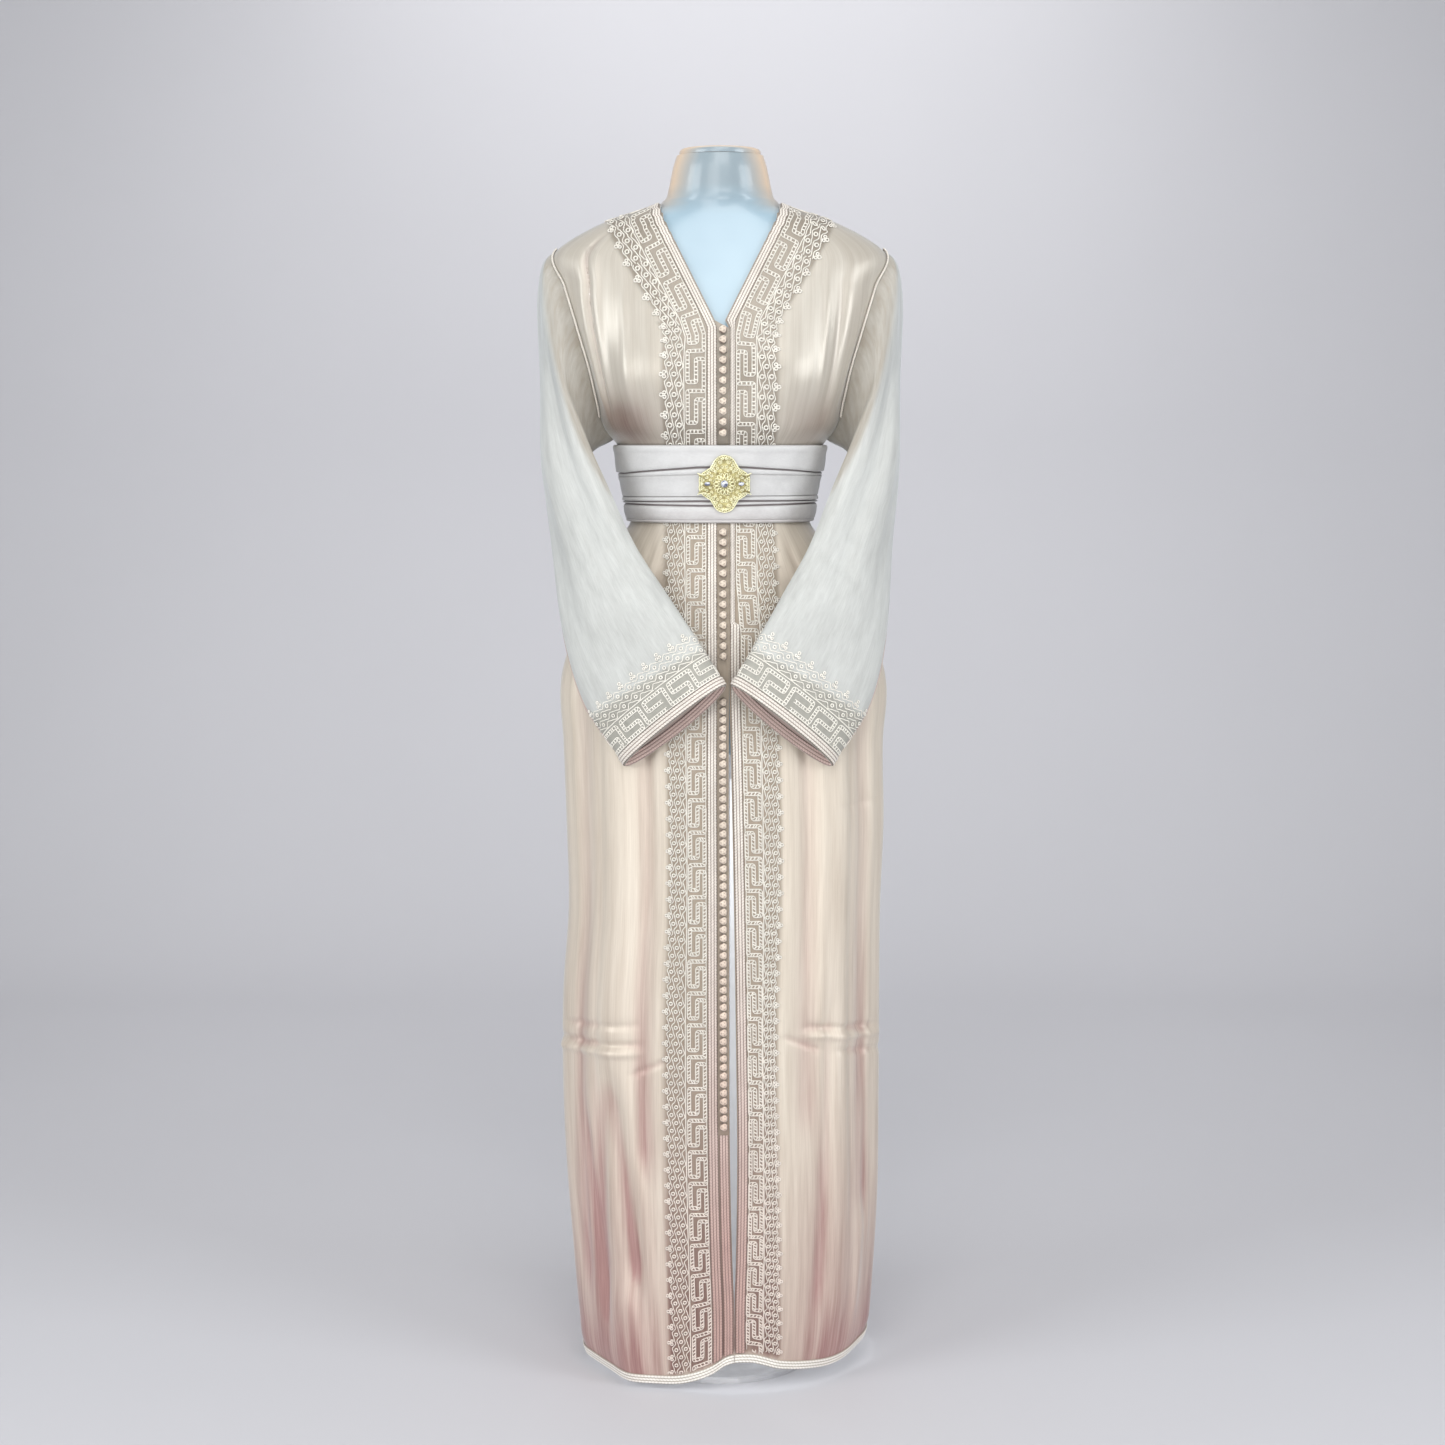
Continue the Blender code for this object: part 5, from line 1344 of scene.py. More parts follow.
def flat_motifs(width, start, end, repeat, skew=1, slanted=np.zeros_like):
    """All cords of a band as (across, along, radius, flatness, height, run), in metres on the flat.

    width and repeat are functions of the along place, so that the pattern can grow along the band.
    slanted says how much the ladder's rungs lean. A wave of the net is sin(p + 0.75 skew sin p): it
    climbs fast and falls slowly, or the reverse."""
    flat, run = [], 0

    def put(across, along, radius, flatness=1.0, height=0.0):
        """Adds cords given as rows of points."""
        nonlocal run
        parts = np.broadcast_arrays(across, along, radius, flatness, height)
        rows, count = np.atleast_2d(parts[0]).shape
        number = np.repeat(np.arange(run, run + rows), count)
        flat.append(np.stack([part.ravel() for part in parts] + [number], -1))
        run += rows

    place, repeats = start, []
    while place < end - 0.4 * repeat(place):
        repeats.append((place, repeat(place), width(place)))
        place += repeat(place)
    lows, sizes, widths = np.array(repeats).T

    # The key pattern: a ladder of two cords with thick rungs.
    corners = np.concatenate([KEY_CORNERS * (w, -size) + (0, p + size) for p, size, w in repeats[::-1]])
    spine, run_length = follow(corners, 0.0015)
    heading = unit(np.gradient(spine, axis=0))
    beside = np.stack([-heading[:, 1], heading[:, 0]], -1)
    for sign in (-1, 1):
        line = spine + sign * LADDER_HALF * beside
        put(line[:, 0], line[:, 1], LADDER_CORD)
    spacing = np.interp(spine[:, 1], lows, sizes) / RUNGS_A_REPEAT
    count = np.concatenate([[0], np.cumsum(np.diff(run_length) / spacing[1:])])
    rungs = np.searchsorted(count, np.arange(0.5, count[-1], 1.0))
    span = np.array([-1.0, 0.0, 1.0])[:, None]
    lean = span * RUNG_LEAN * slanted(spine[rungs, 1])[:, None, None]
    rung = spine[rungs, None] + span * LADDER_HALF * RUNG_REACH * beside[rungs, None]
    rung = rung + lean * heading[rungs, None]
    put(rung[..., 0], rung[..., 1], RUNG_RADIUS * spacing[rungs, None], RUNG_FLATNESS)

    # The plain cords.
    line = np.arange(start, end, 0.004)
    put(PLAIN_LINE * np.interp(line, lows, widths), line, PLAIN_CORD)
    put(0.0006, line, EDGE_CORD)

    # The net, its rings and the leaves, all in half repeats.
    low = np.concatenate([lows, lows + sizes / 2])
    order = np.argsort(low)
    low, pitch, wide = (part[order][:, None] for part in (low, np.tile(sizes / 2, 2), np.tile(widths, 2)))
    wave = np.linspace(0, 1, 10)
    for k, share in enumerate(NET_WAVES):
        phase = 2 * np.pi * (wave + 0.5 * (k % 2))
        sway = NET_SWAY * np.sin(phase + 0.75 * skew * np.sin(phase))
        put((share + sway) * wide, low + wave * pitch, NET_CORD * pitch)
    turn = np.linspace(0, 2 * np.pi, 9)
    for share, offset, radius in NET_RINGS + LEAF_RINGS:
        across = share * wide + radius * pitch * np.cos(turn)
        put(across, low + (offset + radius * np.sin(turn)) * pitch, RING_CORD * pitch, 0.9, RING_LIFT)
    return np.concatenate(flat)


# %% [markdown]
# On a front the strip follows the opening and then the neck. Its cross lines are level up to the
# chest and turn square to the neck edge above it, so the band bends without tearing. What would pass
# the shoulder seam or go under the hem's braid is left out.

# %% Laying the strip on the fronts
NARROWS = [0.93, 1.0]
BAND_STARTS = {-1: 0.010, 1: 0.018}  # how far above the hem each side's pattern starts
REPEAT_TURNS, REPEATS = [1.06, 1.17], [0.0394, 0.0480]
BELT_COVERS = 0.004  # no cord is laid further under the belt than this


def band_base(side):
    """The band's inner line as (length, z) every few millimetres, run on past the neck."""
    z = np.concatenate([np.linspace(HEM_Z, 1.296, 300), np.linspace(1.322, NECK_Z, 40)])
    start = edge_length(z, side) + trim_offsets(z, side)[2]
    if side > 0:  # the left braid narrows smoothly above the belt
        ends = [start[z < NARROWS[0]][-1], start[z > NARROWS[1]][0]]
        between = (z > NARROWS[0]) & (z < NARROWS[1])
        start = np.where(between, np.interp(z, NARROWS, ends), start)
    slope = (start[-1] - start[-8]) / (z[-1] - z[-8])
    z = np.append(z, NECK_Z + 0.06)
    start = np.append(start, start[-1] + slope * 0.06)
    along = np.concatenate([[0], np.cumsum(np.hypot(np.diff(z), np.diff(start)))])
    return z, start, along


def lay_on_front(flat, side):
    """(across, along) of the strip to points and normals on a front, and which of them fit on it."""
    base_z, base_start, base_along = band_base(side)
    across, along = flat[:, 0], flat[:, 1]
    z0, start = np.interp(along, base_along, base_z), np.interp(along, base_along, base_start)
    lean = NECK_LEAN * rise(z0, BEND_FROM, BEND_TO)
    length, z = start + across * np.cos(lean), z0 - across * np.sin(lean)
    kept = (z < NECK_Z - 0.001) & (z > HEM_BRAID_TOP)
    z = np.clip(z, HEM_Z, NECK_Z)
    kept &= (length < side_length(z) - 0.003) & (z0 < NECK_Z + 0.05)
    hidden = (z > BELT_BOTTOM_Z + BELT_COVERS) & (z < BELT_BOTTOM_Z + BELT_HEIGHT - BELT_COVERS)
    kept &= ~hidden
    z, around = on_front(z, np.minimum(length, side_length(z)), side)
    normals = normal_of(cloth_point, z, around)
    return cloth_point(z, around), normals, kept


def split_runs(runs, kept):
    """Run numbers with a new run after each gap."""
    change = np.concatenate([[False], (runs[1:] != runs[:-1]) | ~kept[1:] | ~kept[:-1]])
    return np.cumsum(change)[kept]


def front_sizes(side):
    """Functions for the band's width and the pattern's repeat along it, and the band's length."""
    base_z, base_start, base_along = band_base(side)

    def width(along):
        z = np.interp(along, base_along, base_z)
        level = BAND_END - np.interp(along, base_along, base_start)
        return float(np.interp(z, BAND_TURNS, [level, *NECK_BAND]))

    def repeat(along):
        z = np.interp(along, base_along, base_z)
        return float(np.interp(z, REPEAT_TURNS, REPEATS))

    return width, repeat, base_along[-1]


def skirt_slant(along):
    """The rungs lean in the skirt and stand straight on the chest."""
    return 1 - rise(along, 0.95, 1.15)


def embroider(name, flat, points, normals, runs, finish, rose):
    """Cords on the cloth: a centre stands off it by 0.7 of its radius, flattened, plus its height."""
    radius, flatness, height = flat[:, 2:5].T
    centres = points + normals * (radius * flatness * 0.7 + height)[:, None]
    make_cords(name, [(centres, normals, radius, runs, flatness)], finish, marks={"rose": rose})


for word, side in SIDES:
    width, repeat, last = front_sizes(side)
    flat = flat_motifs(width, BAND_STARTS[side], last, repeat, side, skirt_slant)
    points, normals, kept = lay_on_front(flat, side)
    runs = split_runs(flat[:, 5], kept)
    embroider("embroidery_front_" + word, flat[kept], points[kept], normals[kept], runs, cord_silk, cord_rose)

# %% [markdown]
# Round the cuffs the same strip lies with its inner line on the braid, and its leaves point up the
# sleeve. The number of repeats is whole, so the pattern closes.

# %% Laying the strip round the cuffs
CUFF_BAND = 0.070
CUFF_FROM_EDGE = 0.0145
CUFF_REPEAT = 0.040
CUFF_GRID_ROWS = 40


def even_rose(share):
    """The same rose share at every point."""
    return lambda points: np.full(len(points), share)


def cuff_sampler(word):
    """A function from (share round the cuff, distance from its edge) to points and normals."""
    grid, normals, *_ = sleeves[word]
    rows, facing = grid[::-1][:CUFF_GRID_ROWS], normals[::-1][:CUFF_GRID_ROWS]
    steps = run_along(rows)[-1] / (len(rows) - 1)
    round_run = run_along(closed(rows[12]))

    def sample(share, distance):
        column = np.interp(share % 1 * round_run[-1], round_run, np.arange(SLEEVE_COLUMNS + 1))
        i = column.astype(int) % SLEEVE_COLUMNS
        k, u = (i + 1) % SLEEVE_COLUMNS, column - column.astype(int)
        row = np.clip(distance / ((1 - u) * steps[i] + u * steps[k]), 0, len(rows) - 1.001)
        j, v = row.astype(int), row - row.astype(int)
        shares = ((1 - v) * (1 - u), (1 - v) * u, v * (1 - u), v * u)
        corners = ((j, i), (j, k), (j + 1, i), (j + 1, k))

        def read(values):
            return sum(part[:, None] * values[corner] for part, corner in zip(shares, corners))

        return read(rows), unit(read(facing))

    return sample, round_run[-1]


for word, side in SIDES:
    sample, girth = cuff_sampler(word)
    repeat = girth / round(girth / CUFF_REPEAT)
    flat = flat_motifs(lambda along: CUFF_BAND, 0.0, girth, lambda along: repeat)
    points, normals = sample(flat[:, 1] / girth, CUFF_FROM_EDGE + flat[:, 0])
    jump = np.linalg.norm(np.diff(points, axis=0), axis=1) > 0.02
    change = np.append(False, (flat[1:, 5] != flat[:-1, 5]) | jump)
    embroider("embroidery_cuff_" + word, flat, points, normals, np.cumsum(change), cuff_silk, even_rose(0.02))

# %% [markdown]
# ## Twisted cords on the armhole seams
# Two strands turn round each other along the seam: each strand's centre circles the seam line.

# %% The seam cords
SEAM_CORD_RADIUS, SEAM_CORD_PITCH = 0.0015, 0.0062
SEAM_FIRST, SEAM_LAST = 52, 32  # columns of the sleeve; the cord runs between them over the tip
for word, side in SIDES:
    _, _, seam, facing, own = sleeves[word]
    between = unit(facing + own)
    clear = (between * facing).sum(axis=1, keepdims=True)
    line = seam + between * (SEAM_CORD_RADIUS + 2 * SEAM_GAP) / clear
    order = np.concatenate([np.arange(SEAM_FIRST, SLEEVE_COLUMNS), np.arange(0, SEAM_LAST + 1)])
    strands = twisted(line[order], between[order], SEAM_CORD_RADIUS * 0.52, SEAM_CORD_PITCH)
    piece = make_cords("seam_cord_" + word, strands, cord_silk, marks={"rose": even_rose(0.1)})
    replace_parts(piece, "cord_armhole_" + word)

# %% [markdown]
# ## Knotted buttons
# Each button is a ball knot of silk cord. Its surface is a sphere with two sets of slanting waves,
# which cross like the turns of the knot.

# %% The buttons
BUTTON_RADIUS = 0.0046
KNOT_ROWS, KNOT_COLUMNS = 11, 20


def ball_grid(rows, columns):
    """Tilt from the pole, turn round it, and the points of a ball of radius 1."""
    tilt = np.linspace(0.001, np.pi - 0.001, rows)[:, None]
    turn = 2 * np.pi * np.arange(columns)[None] / columns
    level = np.cos(tilt) * np.ones_like(turn)
    return tilt, turn, np.stack([np.sin(tilt) * np.cos(turn), np.sin(tilt) * np.sin(turn), level], -1)


def ball_faces(points, centres, rows, columns):
    """Quads and end polygons of many balls on the same grid, facing out."""
    starts = np.arange(len(centres))[:, None, None] * rows * columns
    tables = [(table[None] + starts).reshape(-1, table.shape[1]) for table in stack_faces(rows, columns)]
    face = tables[0][rows // 2 * columns]
    return turned_to(points, tables, face, points[face[0]] - centres[0])


def knot_arrays(centres, ups):
    """Balls with relief: r = R (1 + 0.11 sin b max(cos(3a + 5b), cos(3a - 5b))), a turn and b tilt."""
    tilt, turn, ball = ball_grid(KNOT_ROWS, KNOT_COLUMNS)
    waves = np.maximum(np.cos(3 * turn + 5 * tilt), np.cos(3 * turn - 5 * tilt)) * np.sin(tilt)
    ball = ball * (BUTTON_RADIUS * (1.0 + 0.11 * waves))[..., None]
    across = unit(np.cross(ups, [0.0, 0.0, 1.0]))
    frames = np.stack([across, np.cross(across, ups), ups], 1)
    points = centres[:, None] + np.einsum("pk,nkj->npj", ball.reshape(-1, 3), frames)
    points = points.reshape(-1, 3)
    # top falls in the knot's grooves and towards the ball's rim, where buttons meet: the silk paints shade by
    # it.
    top = ((0.5 + 0.5 * waves) * np.clip(1.3 * np.cos(tilt) + 0.15, 0, 1)).ravel()
    return points, ball_faces(points, centres, KNOT_ROWS, KNOT_COLUMNS), np.tile(top, len(centres))


# node, top, pitch, count
BUTTON_RUNS = (
    ("buttons_chest", 1.3060, 0.0119, 11),
    ("buttons_waist", 1.0640, 0.0122, 13),
    ("buttons_skirt", 0.8620, 0.0106, 50),
)
for node, first, pitch, count in BUTTON_RUNS:
    z = first - (np.arange(count) + 0.5) * pitch
    on_cloth, ups = front_line(z, PLACKET_WIDTH / 2, -1)
    centres = on_cloth + ups * (BUTTON_RADIUS * math.cos(math.pi / 5) + 2 * SEAM_GAP)
    points, tables, top = knot_arrays(centres, ups)
    marks = {"rose": 0.9 * braid_rose(points), "top": top}
    piece = make_piece(node + "_knots", points, tables, button_silk, marks)
    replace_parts(piece, node)

# %% [markdown]
# ## The dress form
# The form is one smooth glossy shell without limbs. It follows the robe's plain sections a little
# further in, and its neck ends in a flat cap. The finish is bluish where the form is full, and the
# edge of the neck, where it turns away from view, takes a warm painted reflection.

# %% The form's finish
def form_finish():
    """Pearly plastic: bluish, greyer in the neck, and an amber painted reflection where the neck turns
    away.
    """
    made, tree, shader = new_finish("pearl_plastic", roughness=0.28, coat_weight=0.35, coat_roughness=0.12)
    place = object_place(tree)
    level = add(tree, "SeparateXYZ", {0: place}).outputs[2]
    # Painted reflection: the neck's edge, where it turns away from view, is tinted amber.
    grazing = add(tree, "LayerWeight", {"Blend": 0.45}).outputs["Facing"]
    edge = add(tree, "MapRange", {0: grazing, 1: 0.12, 2: 0.55}, clamp=True).outputs[0]
    in_neck = add(tree, "MapRange", {0: level, 1: 1.440, 2: 1.480}, clamp=True).outputs[0]
    warm_reflection = add(tree, "Math", {0: edge, 1: in_neck}, operation="MULTIPLY").outputs[0]
    cloud = ramp(tree, noise(tree, place, 9.0, 2.0), [(0.3, 0.0), (0.7, 1.0)])
    body = mix(tree, cloud, (0.30, 0.415, 0.49, 1), (0.36, 0.48, 0.55, 1))
    neck = mix(tree, in_neck, body, mix(tree, 0.75, body, (0.24, 0.28, 0.30, 1)))
    feed(tree, shader, base_color=mix(tree, warm_reflection, neck, (0.74, 0.58, 0.43, 1)))
    return made


form_plastic = form_finish()

# %% The form
# z, how far inside the robe's outer face
FORM_CLEARANCE = np.array([
    (0.800, 0.0300), (0.870, 0.0220), (0.940, 0.0180), (1.000, 0.0120), (1.045, 0.0080), (1.070, 0.0046),
    (1.164, 0.0046), (1.182, 0.0130), (1.215, 0.0110), (1.255, 0.0065), (1.310, 0.0045), (1.355, 0.0044),
    (1.402, 0.0044), (1.433, 0.0044), (1.457, 0.0036),
])
# z, half_width, front, back
FORM_NECK = np.array([
    (1.4625, 0.0682, 0.0545, 0.0595), (1.4740, 0.0636, 0.0535, 0.0578), (1.4900, 0.0602, 0.0522, 0.0560),
    (1.5040, 0.0570, 0.0508, 0.0540), (1.5155, 0.0532, 0.0490, 0.0515),
])
FORM_COLUMNS = 96
FORM_FOOT_Z, NECK_FOOT_Z, NECK_TOP_Z = 0.800, 1.457, 1.5155
# share of the foot's size, how far below it
FORM_FOOT = np.array([(0.86, 0.012), (0.93, 0.010), (0.975, 0.0055)])


def closed_rings(rings):
    """Points and faces of rings stacked from one end to the other, closed with a polygon at both."""
    rows, columns = rings.shape[:2]
    points, tables = rings.reshape(-1, 3), stack_faces(rows, columns)
    face = tables[0][rows // 2 * columns]
    return points, turned_to(points, tables, face, points[face[0]] - rings[rows // 2].mean(axis=0))


def form_rings():
    """Rings of the form: a rounded foot, the torso inside the robe, and the neck."""
    z = np.linspace(FORM_FOOT_Z, NECK_FOOT_Z, 72)[:, None]
    around = np.linspace(-2, 2, FORM_COLUMNS, endpoint=False)[None]
    inside = np.interp(z, FORM_CLEARANCE[:, 0], FORM_CLEARANCE[:, 1])[..., None]
    z, around = np.broadcast_arrays(z, around)
    torso = smooth_point(z, around) - normal_of(smooth_point, z, around) * inside
    foot, top, middle = torso[0], torso[-1], torso[0].mean(0)
    rounded = middle + (foot - middle) * FORM_FOOT[:, :1, None] - FORM_FOOT[:, 1:, None] * (0, 0, 1)
    own = np.array([(NECK_FOOT_Z, abs(top[:, 0]).max(), -top[:, 1].min(), top[:, 1].max())])
    sizes = np.concatenate([own, FORM_NECK])
    levels = np.linspace(NECK_FOOT_Z + 0.0005, NECK_TOP_Z, 22)[1:]
    half, front, back = (through(sizes[:, 0], sizes[:, k], levels)[:, None] for k in (1, 2, 3))
    angle = around[0] * np.pi / 2
    depth = np.where(abs(around[0]) < 1, front, back)
    neck = np.stack([half * np.sin(angle), -depth * np.cos(angle), levels[:, None] * np.ones_like(angle)], -1)
    return np.concatenate([rounded, torso, neck])


points, faces = closed_rings(form_rings())
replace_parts(make_piece("form_body", points, faces, form_plastic, sharp=60), "form_torso")


def turned(profile, steps):
    """Rings of a turned shape from (radius, height) pairs, first to last."""
    profile = np.asarray(profile, float)
    turn = 2 * np.pi * np.arange(steps) / steps
    radius, height = profile[:, :1], profile[:, 1:]
    return np.stack([radius * np.cos(turn), radius * np.sin(turn), height * np.ones(steps)], -1)


CAP_FOOT, CAP_TOP = 1.5158, 1.5238
# radius, depth below the cap's top
CAP_EDGE = [(0.0500, 0.0045), (0.0496, 0.0028), (0.0485, 0.0013), (0.0465, 0.0003), (0.0440, 0.0)]
cap = [(0.0500, CAP_FOOT)] + [(radius, CAP_TOP - down) for radius, down in CAP_EDGE]
points, faces = closed_rings(turned(cap, 72))
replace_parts(make_piece("form_cap", points, faces, form_plastic, sharp=50), "form_neck_cap")

# %% [markdown]
# The pole and the round base are brushed steel. The brushing is noise drawn out round the axis.

# %% The stand's finish
def steel_finish():
    """Brushed steel, lighter and duller along the brush's lines."""
    made, tree, shader = new_finish("brushed_steel", metallic=1.0, roughness=0.3)
    drawn = add(tree, "Mapping", {0: object_place(tree), 3: (60, 60, 900)}).outputs[0]
    grain = noise(tree, drawn, 1.0, 3.0)
    tint = ramp(tree, grain, [(0.3, (0.70, 0.70, 0.71)), (0.7, (0.82, 0.82, 0.83))])
    feed(tree, shader, base_color=tint, roughness=ramp(tree, grain, [(0.2, 0.40), (0.8, 0.55)]))
    return made


steel = steel_finish()
for node in ("stand_pole", "stand_base"):
    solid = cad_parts[node]
    solid.data.materials.clear()
    solid.data.materials.append(steel)

# %% [markdown]
# ## The clasp
# The belt's clasp is gilt: a lobed plate with a rim, filled with scrolls of wire and small beads
# round a rosette that holds a clear stone. Its outline is taller than wide, with hooked lobes at both
# sides.

# %% The clasp's metal and stones
def gilt_finish(name, light, deep, roughness):
    """Gilt metal, clouded between two tints."""
    made, tree, shader = new_finish(name, metallic=1.0, roughness=roughness)
    cloud = noise(tree, object_place(tree), 260.0, 3.0)
    feed(tree, shader, base_color=ramp(tree, cloud, [(0.35, deep), (0.65, light)]))
    return made


gilt = gilt_finish("gilt", (1.0, 0.99, 0.76), (0.98, 0.94, 0.62), 0.32)
gilt_ground = gilt_finish("gilt_ground", (0.58, 0.53, 0.27), (0.27, 0.23, 0.10), 0.5)


def stone_finish():
    """A cut stone: small light and dark cells under a clear coat, a painted reflection of its cut faces."""
    made, tree, shader = new_finish(
        "clear_stone", roughness=0.04, ior=1.9, transmission_weight=0.25, coat_weight=1.0,
    )
    # Painted reflection: light and dark cells stand for light caught by the cut faces.
    cells = add(tree, "TexVoronoi", {"Vector": object_place(tree), "Scale": 420.0}).outputs["Color"]
    painted_facet_reflections = ramp(tree, cells, [(0.40, (0.10, 0.12, 0.22)), (0.55, (0.86, 0.90, 1.0))])
    feed(tree, shader, base_color=painted_facet_reflections)
    return made


stone = stone_finish()

# %% The clasp's plate
BROOCH_X, BROOCH_Z = 0.0053, 1.1174
BROOCH_SETTLES = 0.0004
BROOCH_REACH = 0.034
# degrees from the side, radius
BROOCH_LOBES = np.array([
    (0, 0.0306), (15, 0.0318), (25, 0.0302), (38, 0.0276),
    (50, 0.0264), (62, 0.0292), (76, 0.0336), (90, 0.0350),
])


def brooch_radius(turn):
    """The plate's radius, the same in all four quarters."""
    degrees = abs((np.degrees(turn) + 90) % 180 - 90)
    return through(BROOCH_LOBES[:, 0], BROOCH_LOBES[:, 1], degrees)


def on_belt(x, z, out):
    """A point in front of the belt at x and z, standing out by out from a straight line down it."""
    x, z, out = np.broadcast_arrays(*(np.asarray(part, float) for part in (x, z, out)))
    level = np.full(x.size, BROOCH_Z)
    around = (length_at_x(level, x.ravel()) / quarter_length(BROOCH_Z)).reshape(x.shape)
    depths = []
    for reach, off in ((-BROOCH_REACH, 0.0062), (BROOCH_REACH, 0.0064)):
        up = np.full(x.shape, BROOCH_Z + reach - BELT_BOTTOM_Z)
        depths.append(belt_point(up, around, np.full(x.shape, off))[..., 1])
    low, high = depths
    share = np.clip((z - BROOCH_Z + BROOCH_REACH) / (2 * BROOCH_REACH), 0, 1)
    return np.stack([x, low + (high - low) * share - out + BROOCH_SETTLES, z], -1)


def medallion(name, node, outline, rings, finish, shift=0.0, columns=96):
    """Rings at a share of the outline's radius and a height off the belt, from the back forward."""
    turn = 2 * np.pi * np.arange(columns) / columns
    radius = outline(turn)
    loops = []
    for share, height in rings:
        x = BROOCH_X + shift + share * radius * np.cos(turn)
        loops.append(on_belt(x, BROOCH_Z + share * radius * np.sin(turn), height))
    loops = np.array(loops)
    points, tables = closed_rings(loops)
    faces = turned_to(points, tables, tables[1][1], loops[-1].mean(axis=0) - loops[0].mean(axis=0))
    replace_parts(make_piece(name, points, faces, finish, sharp=40), node)


def petalled(radius, wave, petals):
    """An outline of radius + wave * cos(petals * turn)."""
    return lambda turn: radius + wave * np.cos(petals * turn)


plate = [
    (0.97, 0.0010), (1.0, 0.0018), (0.985, 0.0026), (0.93, 0.0030),
    (0.90, 0.0023), (0.5, 0.0032), (0.1, 0.0036),
]
rosette = [(0.96, 0.0044), (1.0, 0.0052), (0.9, 0.0058), (0.72, 0.0056), (0.5, 0.0070), (0.3, 0.0076)]
middle_stone = [(0.8, 0.0077), (1.0, 0.0090), (0.78, 0.0104), (0.55, 0.0112)]
side_stone = [(0.8, 0.0042), (1.0, 0.0054), (0.7, 0.0066), (0.5, 0.0069)]
medallion("clasp_plate", "brooch_plate", brooch_radius, plate, gilt_ground)
medallion("clasp_rosette", "brooch_rosette", petalled(0.0118, 0.0014, 8), rosette, gilt_ground)
medallion("clasp_stone", "brooch_stone", petalled(0.0046, 0.0, 1), middle_stone, stone, columns=8)
for word, side in SIDES:
    outline = petalled(0.0030, 0.0008, 2)
    name, node = "clasp_stone_" + word, "brooch_stone_" + word
    medallion(name, node, outline, side_stone, stone, shift=0.0205 * side, columns=10)

# %% [markdown]
# The wires are planned in a quarter of the plate and mirrored to the other three. A scroll is a
# spiral: its radius shrinks evenly while it turns.

# %% The clasp's wires
def lay_wire(group, line, height, radius):
    """Adds a wire over the clasp, from (x, z) points relative to its middle, to a group of wires."""
    centres = on_belt(BROOCH_X + line[:, 0], BROOCH_Z + line[:, 1], height)
    ups = np.tile([0.0, -1.0, 0.0], (len(line), 1))
    group.append((centres, ups, np.full(len(line), radius), np.zeros(len(line))))


def scroll(x, z, start, end, turns, begins):
    """A spiral about (x, z) whose radius shrinks from start to end."""
    t = np.linspace(0, 1, 17)
    return (x, z) + (start + (end - start) * t)[:, None] * circle(2 * np.pi * turns * t + begins)


# x, z, start radius, end radius, turns, angle that it begins at
SCROLLS = [
    (0.0054, 0.0262, 0.0026, 0.0007, 1.4, 2.2), (0.0108, 0.0222, 0.0026, 0.0007, 1.4, 0.4),
    (0.0026, 0.0206, 0.0021, 0.0006, 1.3, 3.6), (0.0078, 0.0186, 0.0019, 0.0006, 1.3, 4.6),
    (0.0138, 0.0168, 0.0026, 0.0007, 1.4, 1.0), (0.0186, 0.0128, 0.0025, 0.0007, 1.4, 0.0),
    (0.0212, 0.0076, 0.0022, 0.0006, 1.3, 5.2), (0.0262, 0.0050, 0.0021, 0.0006, 1.3, 2.8),
    (0.0024, 0.0304, 0.0020, 0.0006, 1.2, 1.2), (0.0104, 0.0148, 0.0018, 0.0005, 1.1, 4.0),
    (0.0156, 0.0098, 0.0018, 0.0005, 1.1, 2.0), (0.0046, 0.0156, 0.0017, 0.0005, 1.1, 0.6),
    (0.0164, 0.0044, 0.0018, 0.0005, 1.1, 5.6), (0.0272, 0.0008, 0.0017, 0.0005, 1.1, 3.2),
]
MIRRORS = [(across, up) for across in (1, -1) for up in (1, -1)]
wires, notch_shades = [], []
for mirror in MIRRORS:
    for row in SCROLLS:
        lay_wire(wires, scroll(*row) * mirror, 0.0036, 0.00046)
turn = np.linspace(0, 2 * np.pi, 161)
for share, height, radius in ((0.975, 0.0032, 0.0006), (0.885, 0.0032, 0.0004)):
    lay_wire(wires, share * brooch_radius(turn)[:, None] * circle(turn), height, radius)
petal_turn = np.linspace(0, 2 * np.pi, 15)
petal = (0.0100, 0) + (0.0028, 0.0018) * circle(petal_turn)
for angle in np.linspace(0, 2 * np.pi, 14, endpoint=False):
    spin = np.array([[np.cos(angle), np.sin(angle)], [-np.sin(angle), np.cos(angle)]])
    lay_wire(wires, petal @ spin, 0.0064, 0.0005)
t = np.linspace(0, 1, 16)
hook = np.stack([0.0215 + 0.0110 * t, 0.0112 + 0.0016 * t - 0.0010 * np.sin(np.pi * t)], -1)
# Dark wires beside the hooks are painted shade in their recesses.
notch_shade = np.stack([0.0220 + 0.0090 * t, 0.0090 + 0.0012 * t], -1)
for mirror in MIRRORS:
    lay_wire(wires, hook * mirror, 0.0044, 0.0008)
    lay_wire(notch_shades, notch_shade * mirror, 0.0040, 0.0009)
make_cords("clasp_wires", wires, gilt, sides=6)
make_cords("clasp_notch_shades", notch_shades, gilt_ground, sides=6)


# %% Beads on the clasp
BEAD_ROWS, BEAD_COLUMNS = 6, 7
rim = np.linspace(0, 2 * np.pi, 76, endpoint=False)
crown = np.linspace(0, 2 * np.pi, 14, endpoint=False)
scattered = np.array([
    (0.0012, 0.0212), (0.0088, 0.0222), (0.0150, 0.0160), (0.0205, 0.0122), (0.0275, 0.0068),
])
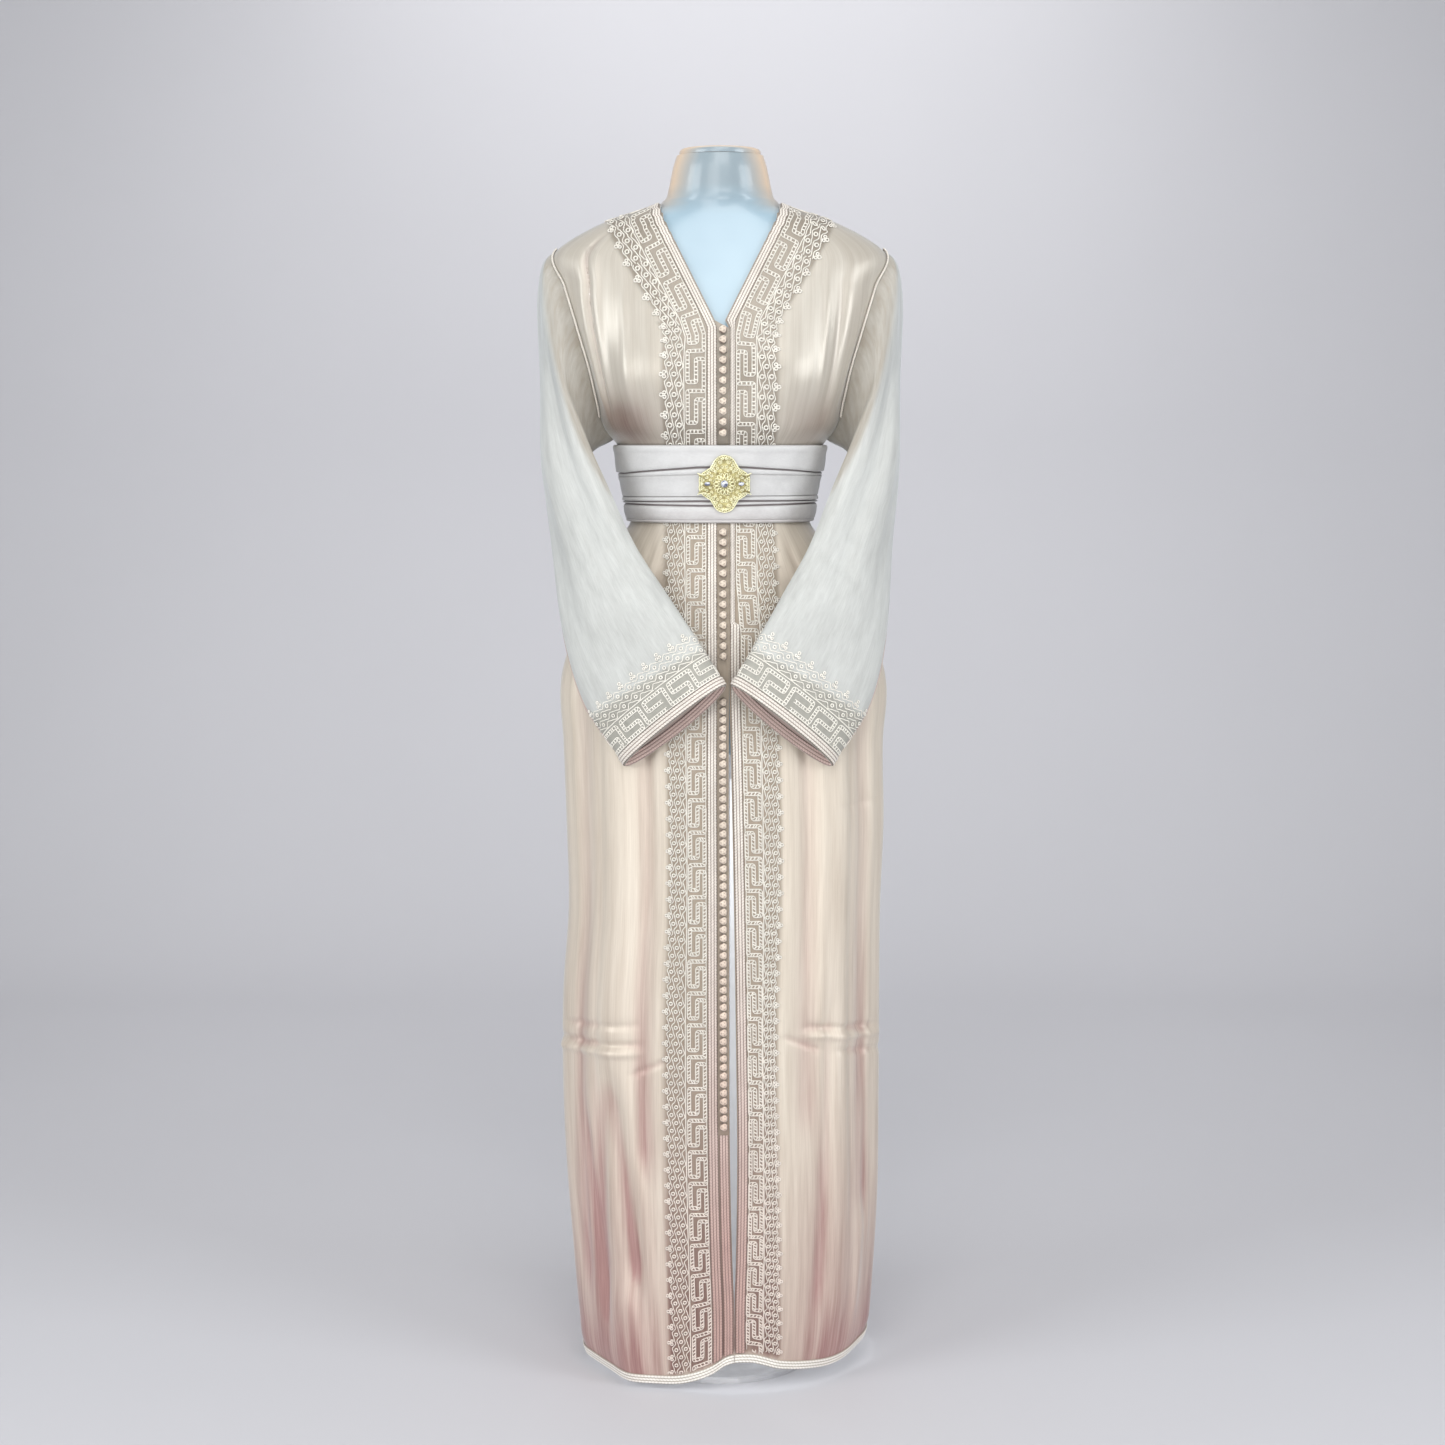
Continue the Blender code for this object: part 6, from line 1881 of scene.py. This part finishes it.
# places, height off the belt, radius
BEADS = (
    (0.93 * brooch_radius(rim)[:, None] * circle(rim), 0.0036, 0.00085),
    (0.0064 * circle(crown), 0.0084, 0.0009),
    (0.0135 * circle(crown + 0.2), 0.0048, 0.0009),
    (np.concatenate([scattered * mirror for mirror in MIRRORS]), 0.0042, 0.0010),
)
places = np.concatenate([row[0] for row in BEADS])
heights, radii = (np.concatenate([np.full(len(row[0]), row[k]) for row in BEADS]) for k in (1, 2))
centres = on_belt(BROOCH_X + places[:, 0], BROOCH_Z + places[:, 1], heights)
# The balls' poles lie level, so the third axis of the grid becomes the second.
ball = ball_grid(BEAD_ROWS, BEAD_COLUMNS)[2][..., [0, 2, 1]].reshape(-1, 3)
points = (centres[:, None] + radii[:, None, None] * ball[None]).reshape(-1, 3)
make_piece("clasp_beads", points, ball_faces(points, centres, BEAD_ROWS, BEAD_COLUMNS), gilt)

# %% [markdown]
# ## What the cloth was cut from
# A front is wider than it looks, because it turns round the side.

# %% [markdown]
# ## Floor and light
# A plain pale floor and wall. Cool soft lights at both sides give the satin its long highlights, and
# warmer ones in front, high and low, show its colour. Two weak lamps inside keep the slit light.

# %% The floor
def stage_finish(name, colour):
    """A matt finish with slow, slight clouds."""
    made, tree, shader = new_finish(name, roughness=0.7)
    light = tuple(min(1.0, part * 1.02) for part in colour)
    cloud = noise(tree, object_place(tree), 1.4, 3.0)
    feed(tree, shader, base_color=ramp(tree, cloud, [(0.3, colour), (0.7, light)]))
    return made


def sweep():
    """A floor that turns up into a wall behind the form: level, then a quarter circle, then upright."""
    near, far, height, half_width, radius = -6.0, 3.2, 6.0, 7.0, 1.2
    bend = np.linspace(0, np.pi / 2, 24)
    y = np.concatenate([[near, 0.0], far - radius + radius * np.sin(bend), [far]])
    z = np.concatenate([[0.0, 0.0], radius - radius * np.cos(bend), [height]])
    points = [(x, back, up) for back, up in zip(y, z) for x in (-half_width, half_width)]
    mesh = bpy.data.meshes.new("floor")
    mesh.from_pydata(points, [], grid_quads(len(y), 2).tolist())
    mesh.shade_smooth()
    mesh.materials.append(stage_finish("pale_floor", (0.61, 0.605, 0.63)))
    made = bpy.data.objects.new("floor", mesh)
    bpy.context.scene.collection.objects.link(made)
    return made


sweep()


# %% The lights
def soft_light(name, place, aim, size, power, colour=(1, 1, 1)):
    """A square softbox whose face looks at aim."""
    data = bpy.data.lights.new(name, "AREA")
    data.energy, data.color, data.size = power, colour, size
    light = bpy.data.objects.new(name, data)
    light.location = place
    light.rotation_euler = (mathutils.Vector(aim) - light.location).to_track_quat("-Z", "Y").to_euler()
    bpy.context.scene.collection.objects.link(light)


soft_light("left", (-2.7, -1.8, 1.8), (0, 0, 0.7), 1.7, 50, (0.94, 0.98, 1.0))
soft_light("right", (2.7, -1.8, 1.8), (0, 0, 0.7), 1.6, 48, (0.93, 0.97, 1.0))
soft_light("front", (-0.9, -3.5, 2.0), (0, 0, 0.8), 1.5, 18, (1.0, 0.985, 0.96))
soft_light("high", (0.1, -2.0, 2.9), (0, 0, 1.0), 1.5, 27, (1.0, 0.99, 0.98))
soft_light("low", (0.2, -3.4, 0.45), (0, 0, 0.3), 1.3, 24, (1.0, 0.985, 0.965))
soft_light("top", (0.0, 0.4, 3.4), (0, 0, 1.0), 2.2, 12)
soft_light("behind", (0.0, 2.3, 2.4), (0, 3.2, 1.2), 2.0, 12)
soft_light("inside_high", (-0.06, -0.06, 0.72), (0.01, 0.04, 0.45), 0.05, 0.5)
soft_light("inside_low", (-0.07, -0.04, 0.36), (0.01, 0.04, 0.10), 0.05, 0.07)

world = bpy.data.worlds.new("studio")
world.use_nodes = True
background = world.node_tree.nodes["Background"]
background.inputs["Color"].default_value = (0.86, 0.87, 0.90, 1)
background.inputs["Strength"].default_value = 0.40
bpy.context.scene.world = world
bpy.context.scene.view_settings.view_transform = "Standard"
